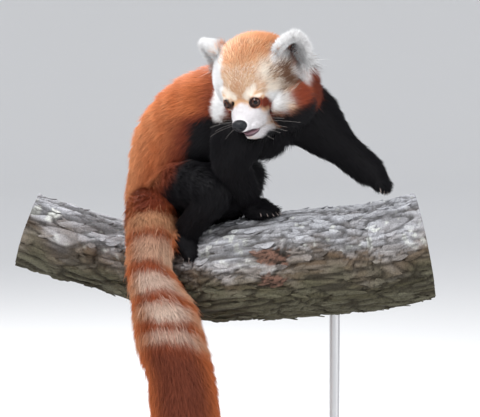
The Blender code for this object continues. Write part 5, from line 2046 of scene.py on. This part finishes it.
@dataclass
class Whiskers:
    """Fine tapered whiskers of the lips, the brows and the chin, swept by geometry nodes."""

    root_radius: float = 0.000075
    steps: int = 12
    seed: int = 61
    # Rows of whiskers: the first and last root, then the first and last way that they
    # point, all as (out, forward, up), their length and how many there are.
    rows: tuple[tuple[Point, Point, Point, Point, float, int], ...] = (
        ((0.0155, 0.0500, -0.0115), (0.0185, 0.0400, -0.0110),
         (0.85, 0.45, 0.10), (0.95, -0.05, 0.12), 0.031, 3),
        ((0.0150, 0.0510, -0.0160), (0.0190, 0.0400, -0.0160),
         (0.90, 0.40, -0.08), (1.00, -0.10, -0.08), 0.034, 3),
        ((0.0130, 0.0500, -0.0200), (0.0175, 0.0400, -0.0205),
         (0.80, 0.35, -0.35), (0.90, -0.10, -0.35), 0.022, 2),
        ((0.0150, 0.0430, 0.0180), (0.0200, 0.0410, 0.0190),
         (0.35, 0.60, 0.75), (0.60, 0.45, 0.70), 0.018, 2),
    )

    def build(self) -> bpy.types.Object:
        """Makes the whiskers.

        Returns:
            All of them as one object.
        """
        draw = np.random.default_rng(self.seed)
        places, edges = [], []
        for side in (1, -1):
            for first, last, first_way, last_way, length, count in self.rows:
                for k in range(count):
                    share = k / (count - 1)
                    root = Vector(first).lerp(Vector(last), share)
                    way = Vector(first_way).lerp(Vector(last_way), share).normalized()
                    self.whisker(root, way, length * draw.uniform(0.8, 1.1), side, places, edges)
        mesh = bpy.data.meshes.new("whiskers")
        mesh.from_pydata(places, edges, [])
        mesh.transform(head_frame())
        holder = link("whiskers", mesh)
        tree = Growth(
            "sweep_whiskers",
            {"Root radius": "NodeSocketFloat", "Material": "NodeSocketMaterial"},
        )
        curve = tree.add("GeometryNodeMeshToCurve")
        tree.wire(tree.entry, "Geometry", curve, "Mesh")
        where = tree.add("GeometryNodeSplineParameter")
        taper = tree.add("ShaderNodeMapRange")
        taper.inputs["To Min"].default_value = 1.0
        taper.inputs["To Max"].default_value = 0.16
        tree.wire(where, "Factor", taper, "Value")
        sized = tree.add("GeometryNodeSetCurveRadius")
        tree.wire(curve, "Curve", sized, "Curve")
        tree.wire(taper, "Result", sized, "Radius")
        ring = tree.add("GeometryNodeCurvePrimitiveCircle")
        ring.inputs["Resolution"].default_value = 5
        tree.wire(tree.entry, "Root radius", ring, "Radius")
        sweep = tree.add("GeometryNodeCurveToMesh")
        sweep.inputs["Fill Caps"].default_value = True
        tree.wire(sized, "Curve", sweep, "Curve")
        tree.wire(ring, "Curve", sweep, "Profile Curve")
        tree.finish(sweep, "Mesh")
        bristle = GlossFinish("bristle", 0.4, 0.0, (0.34, 0.31, 0.29)).material()
        tree.run(holder, {"Root radius": self.root_radius, "Material": bristle})
        return holder

    def whisker(
        self,
        root: Vector,
        way: Vector,
        length: float,
        side: int,
        places: list[Vector],
        edges: list[tuple[int, int]],
    ) -> None:
        """Adds one whisker's line of points, which bends back and down."""
        start = len(places)
        for step in range(self.steps):
            share = step / (self.steps - 1)
            spot = root + way * length * share
            spot += Vector((0.0, -0.30, -0.22)) * length * share ** 2
            places.append(face(tuple(spot), side))
            if step:
                edges.append((start + step - 1, start + step))


@dataclass
class Stand:
    """The stand's plate of dark wood and its brushed steel rods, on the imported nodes."""

    grain_scale: float = 9.0

    def dress(self, nodes: dict[str, bpy.types.Object]) -> None:
        """Gives each of the stand's nodes its finish."""
        wood = self.wood()
        steel = self.steel()
        for name, finish, slot in (
            ("stand_base", wood, "stand_plate"),
            ("stand_rod_left", steel, "stand_rod"),
            ("stand_rod_right", steel, "stand_rod"),
        ):
            nodes[name].data.materials.clear()
            nodes[name].data.materials.append(finish)

    def wood(self) -> bpy.types.Material:
        """Dark stained wood with its grain along the plate."""
        made, tree, shader = Finish.start("stained_wood")
        where = tree.nodes.new("ShaderNodeTexCoord")
        stretch = tree.nodes.new("ShaderNodeMapping")
        stretch.inputs["Scale"].default_value = (1.0, 14.0, 14.0)
        tree.links.new(where.outputs["Object"], stretch.inputs["Vector"])
        grain = tree.nodes.new("ShaderNodeTexNoise")
        grain.inputs["Scale"].default_value = self.grain_scale
        grain.inputs["Detail"].default_value = 8.0
        grain.inputs["Distortion"].default_value = 0.6
        tree.links.new(stretch.outputs["Vector"], grain.inputs["Vector"])
        ramp = tree.nodes.new("ShaderNodeValToRGB")
        ramp.color_ramp.elements[0].position = 0.32
        ramp.color_ramp.elements[0].color = (0.030, 0.018, 0.011, 1.0)
        ramp.color_ramp.elements[1].position = 0.68
        ramp.color_ramp.elements[1].color = (0.115, 0.068, 0.040, 1.0)
        tree.links.new(grain.outputs["Fac"], ramp.inputs["Fac"])
        tree.links.new(ramp.outputs["Color"], shader.inputs["Base Color"])
        bump = tree.nodes.new("ShaderNodeBump")
        bump.inputs["Strength"].default_value = 0.15
        bump.inputs["Distance"].default_value = 0.0004
        tree.links.new(grain.outputs["Fac"], bump.inputs["Height"])
        tree.links.new(bump.outputs["Normal"], shader.inputs["Normal"])
        shader.inputs["Roughness"].default_value = 0.38
        return made

    def steel(self) -> bpy.types.Material:
        """Brushed steel, brushed round the rods."""
        made, tree, shader = Finish.start("brushed_steel")
        where = tree.nodes.new("ShaderNodeTexCoord")
        stretch = tree.nodes.new("ShaderNodeMapping")
        stretch.inputs["Scale"].default_value = (6.0, 6.0, 900.0)
        tree.links.new(where.outputs["Object"], stretch.inputs["Vector"])
        brush = tree.nodes.new("ShaderNodeTexNoise")
        brush.inputs["Scale"].default_value = 1.0
        tree.links.new(stretch.outputs["Vector"], brush.inputs["Vector"])
        rough = tree.nodes.new("ShaderNodeMapRange")
        rough.inputs["To Min"].default_value = 0.26
        rough.inputs["To Max"].default_value = 0.44
        tree.links.new(brush.outputs["Fac"], rough.inputs["Value"])
        tree.links.new(rough.outputs["Result"], shader.inputs["Roughness"])
        shader.inputs["Base Color"].default_value = (0.55, 0.55, 0.56, 1.0)
        shader.inputs["Metallic"].default_value = 1.0
        return made


@dataclass
class Studio:
    """The camera, the pale floor and the soft lights."""

    flat: float = 6.0
    curve: float = 2.0
    steps: int = 10
    sides: int = 64
    paint: Point = (0.72, 0.72, 0.715)

    def build(self) -> None:
        """Makes them all."""
        self.camera()
        self.floor()
        self.lights()

    def camera(self) -> None:
        """A camera with the photograph's framing."""
        lens = bpy.data.cameras.new("camera")
        lens.sensor_width = SENSOR_WIDTH
        lens.lens = SENSOR_WIDTH * CAMERA_DISTANCE / (METRES_PER_PIXEL * PHOTO_WIDTH)
        holder = bpy.data.objects.new("camera", lens)
        bpy.context.scene.collection.objects.link(holder)
        back = Vector((0.0, -math.cos(CAMERA_ELEVATION), math.sin(CAMERA_ELEVATION)))
        holder.location = CAMERA_TARGET + back * CAMERA_DISTANCE
        holder.rotation_euler = (math.pi / 2.0 - CAMERA_ELEVATION, 0.0, 0.0)
        bpy.context.scene.camera = holder

    def floor(self) -> None:
        """A wide pale floor that curves up all round, far beyond the object."""
        profile = [(0.001, 0.0), (2.0, 0.0), (self.flat, 0.0)]
        for k in range(1, self.steps + 1):
            angle = math.pi / 2.0 * k / self.steps
            out = self.flat + self.curve * math.sin(angle)
            profile.append((out, self.curve * (1.0 - math.cos(angle))))
        shape = bmesh.new()
        hoops = []
        for out, height in profile:
            turns = [2.0 * math.pi * k / self.sides for k in range(self.sides)]
            spots = [(out * math.cos(turn), out * math.sin(turn), height) for turn in turns]
            hoops.append([shape.verts.new(spot) for spot in spots])
        shape.faces.new(hoops[0])
        for low, high in zip(hoops, hoops[1:]):
            for k in range(self.sides):
                after = (k + 1) % self.sides
                shape.faces.new((low[k], high[k], high[after], low[after]))
        floor = link("floor", mesh_of("floor", shape))
        floor.data.shade_smooth()
        floor.data.materials.append(Finish.plain("floor_paint", self.paint, 0.8))

    def lights(self) -> None:
        """A broad key from above left, a fill and a rim, with a pale surround."""
        for name, place, size, power in (
            ("key", (-1.3, -1.5, 2.2), 1.4, 56.0),
            ("fill", (1.8, -1.8, 1.0), 1.8, 26.0),
            ("rim", (-0.6, 1.3, 1.9), 1.0, 45.0),
        ):
            lamp = bpy.data.lights.new(name, "AREA")
            lamp.shape = "DISK"
            lamp.size = size
            lamp.energy = power
            holder = bpy.data.objects.new(name, lamp)
            bpy.context.scene.collection.objects.link(holder)
            holder.location = place
            aim = CAMERA_TARGET - Vector(place)
            holder.rotation_euler = aim.to_track_quat("-Z", "Y").to_euler()
        world = bpy.data.worlds.new("surround")
        bpy.context.scene.world = world
        world.use_nodes = True
        shade = world.node_tree.nodes["Background"]
        shade.inputs["Color"].default_value = (0.93, 0.95, 1.0, 1.0)
        shade.inputs["Strength"].default_value = 0.85


FLESH = (
    "torso", "neck", "head", "ear_left", "ear_right", "foreleg_left", "foreleg_right",
    "hindleg_left", "hindleg_right", "forepaw_left", "forepaw_right", "hindpaw_left",
    "hindpaw_right", "tail_root", "tail_middle", "tail_tip",
)


def main() -> None:
    """Builds every piece, dresses it and sets it on the frame."""
    logging.basicConfig(level=logging.INFO, format="%(message)s")
    bpy.context.scene.view_settings.view_transform = "Standard"
    body = Body()
    markings = Markings(body)
    Studio().build()
    skin = Skin(body, markings).build()
    skin.data.materials.append(Finish.coat("skin", 0.7))
    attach(skin, "root")
    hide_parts(*FLESH)
    log.info("skin: %d faces", len(skin.data.polygons))
    coat = Coat(skin, body, markings)
    fur = Finish.coat("fur", 0.55)
    for kind in COATS:
        piece = coat.grow(kind)
        piece.data.materials.append(fur)
        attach(piece, "root")
        log.info("%s: %d faces", piece.name, len(piece.data.polygons))
    for piece, node, slot in Features().build():
        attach(piece, "root")
        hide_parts(node)
        log.info("%s: %d faces", piece.name, len(piece.data.polygons))
    branch, flakes = Branch().build()
    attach(branch, "root")
    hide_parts("perch_branch")
    for piece, slot in (
        (branch, "bark"), (flakes, "bark"), (Claws().build(), "nose_leather"),
        (Whiskers().build(), "white_coat"),
    ):
        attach(piece, "root")
        log.info("%s: %d faces", piece.name, len(piece.data.polygons))
    Stand().dress(frame["nodes"])


if __name__ == "__main__":
    main()
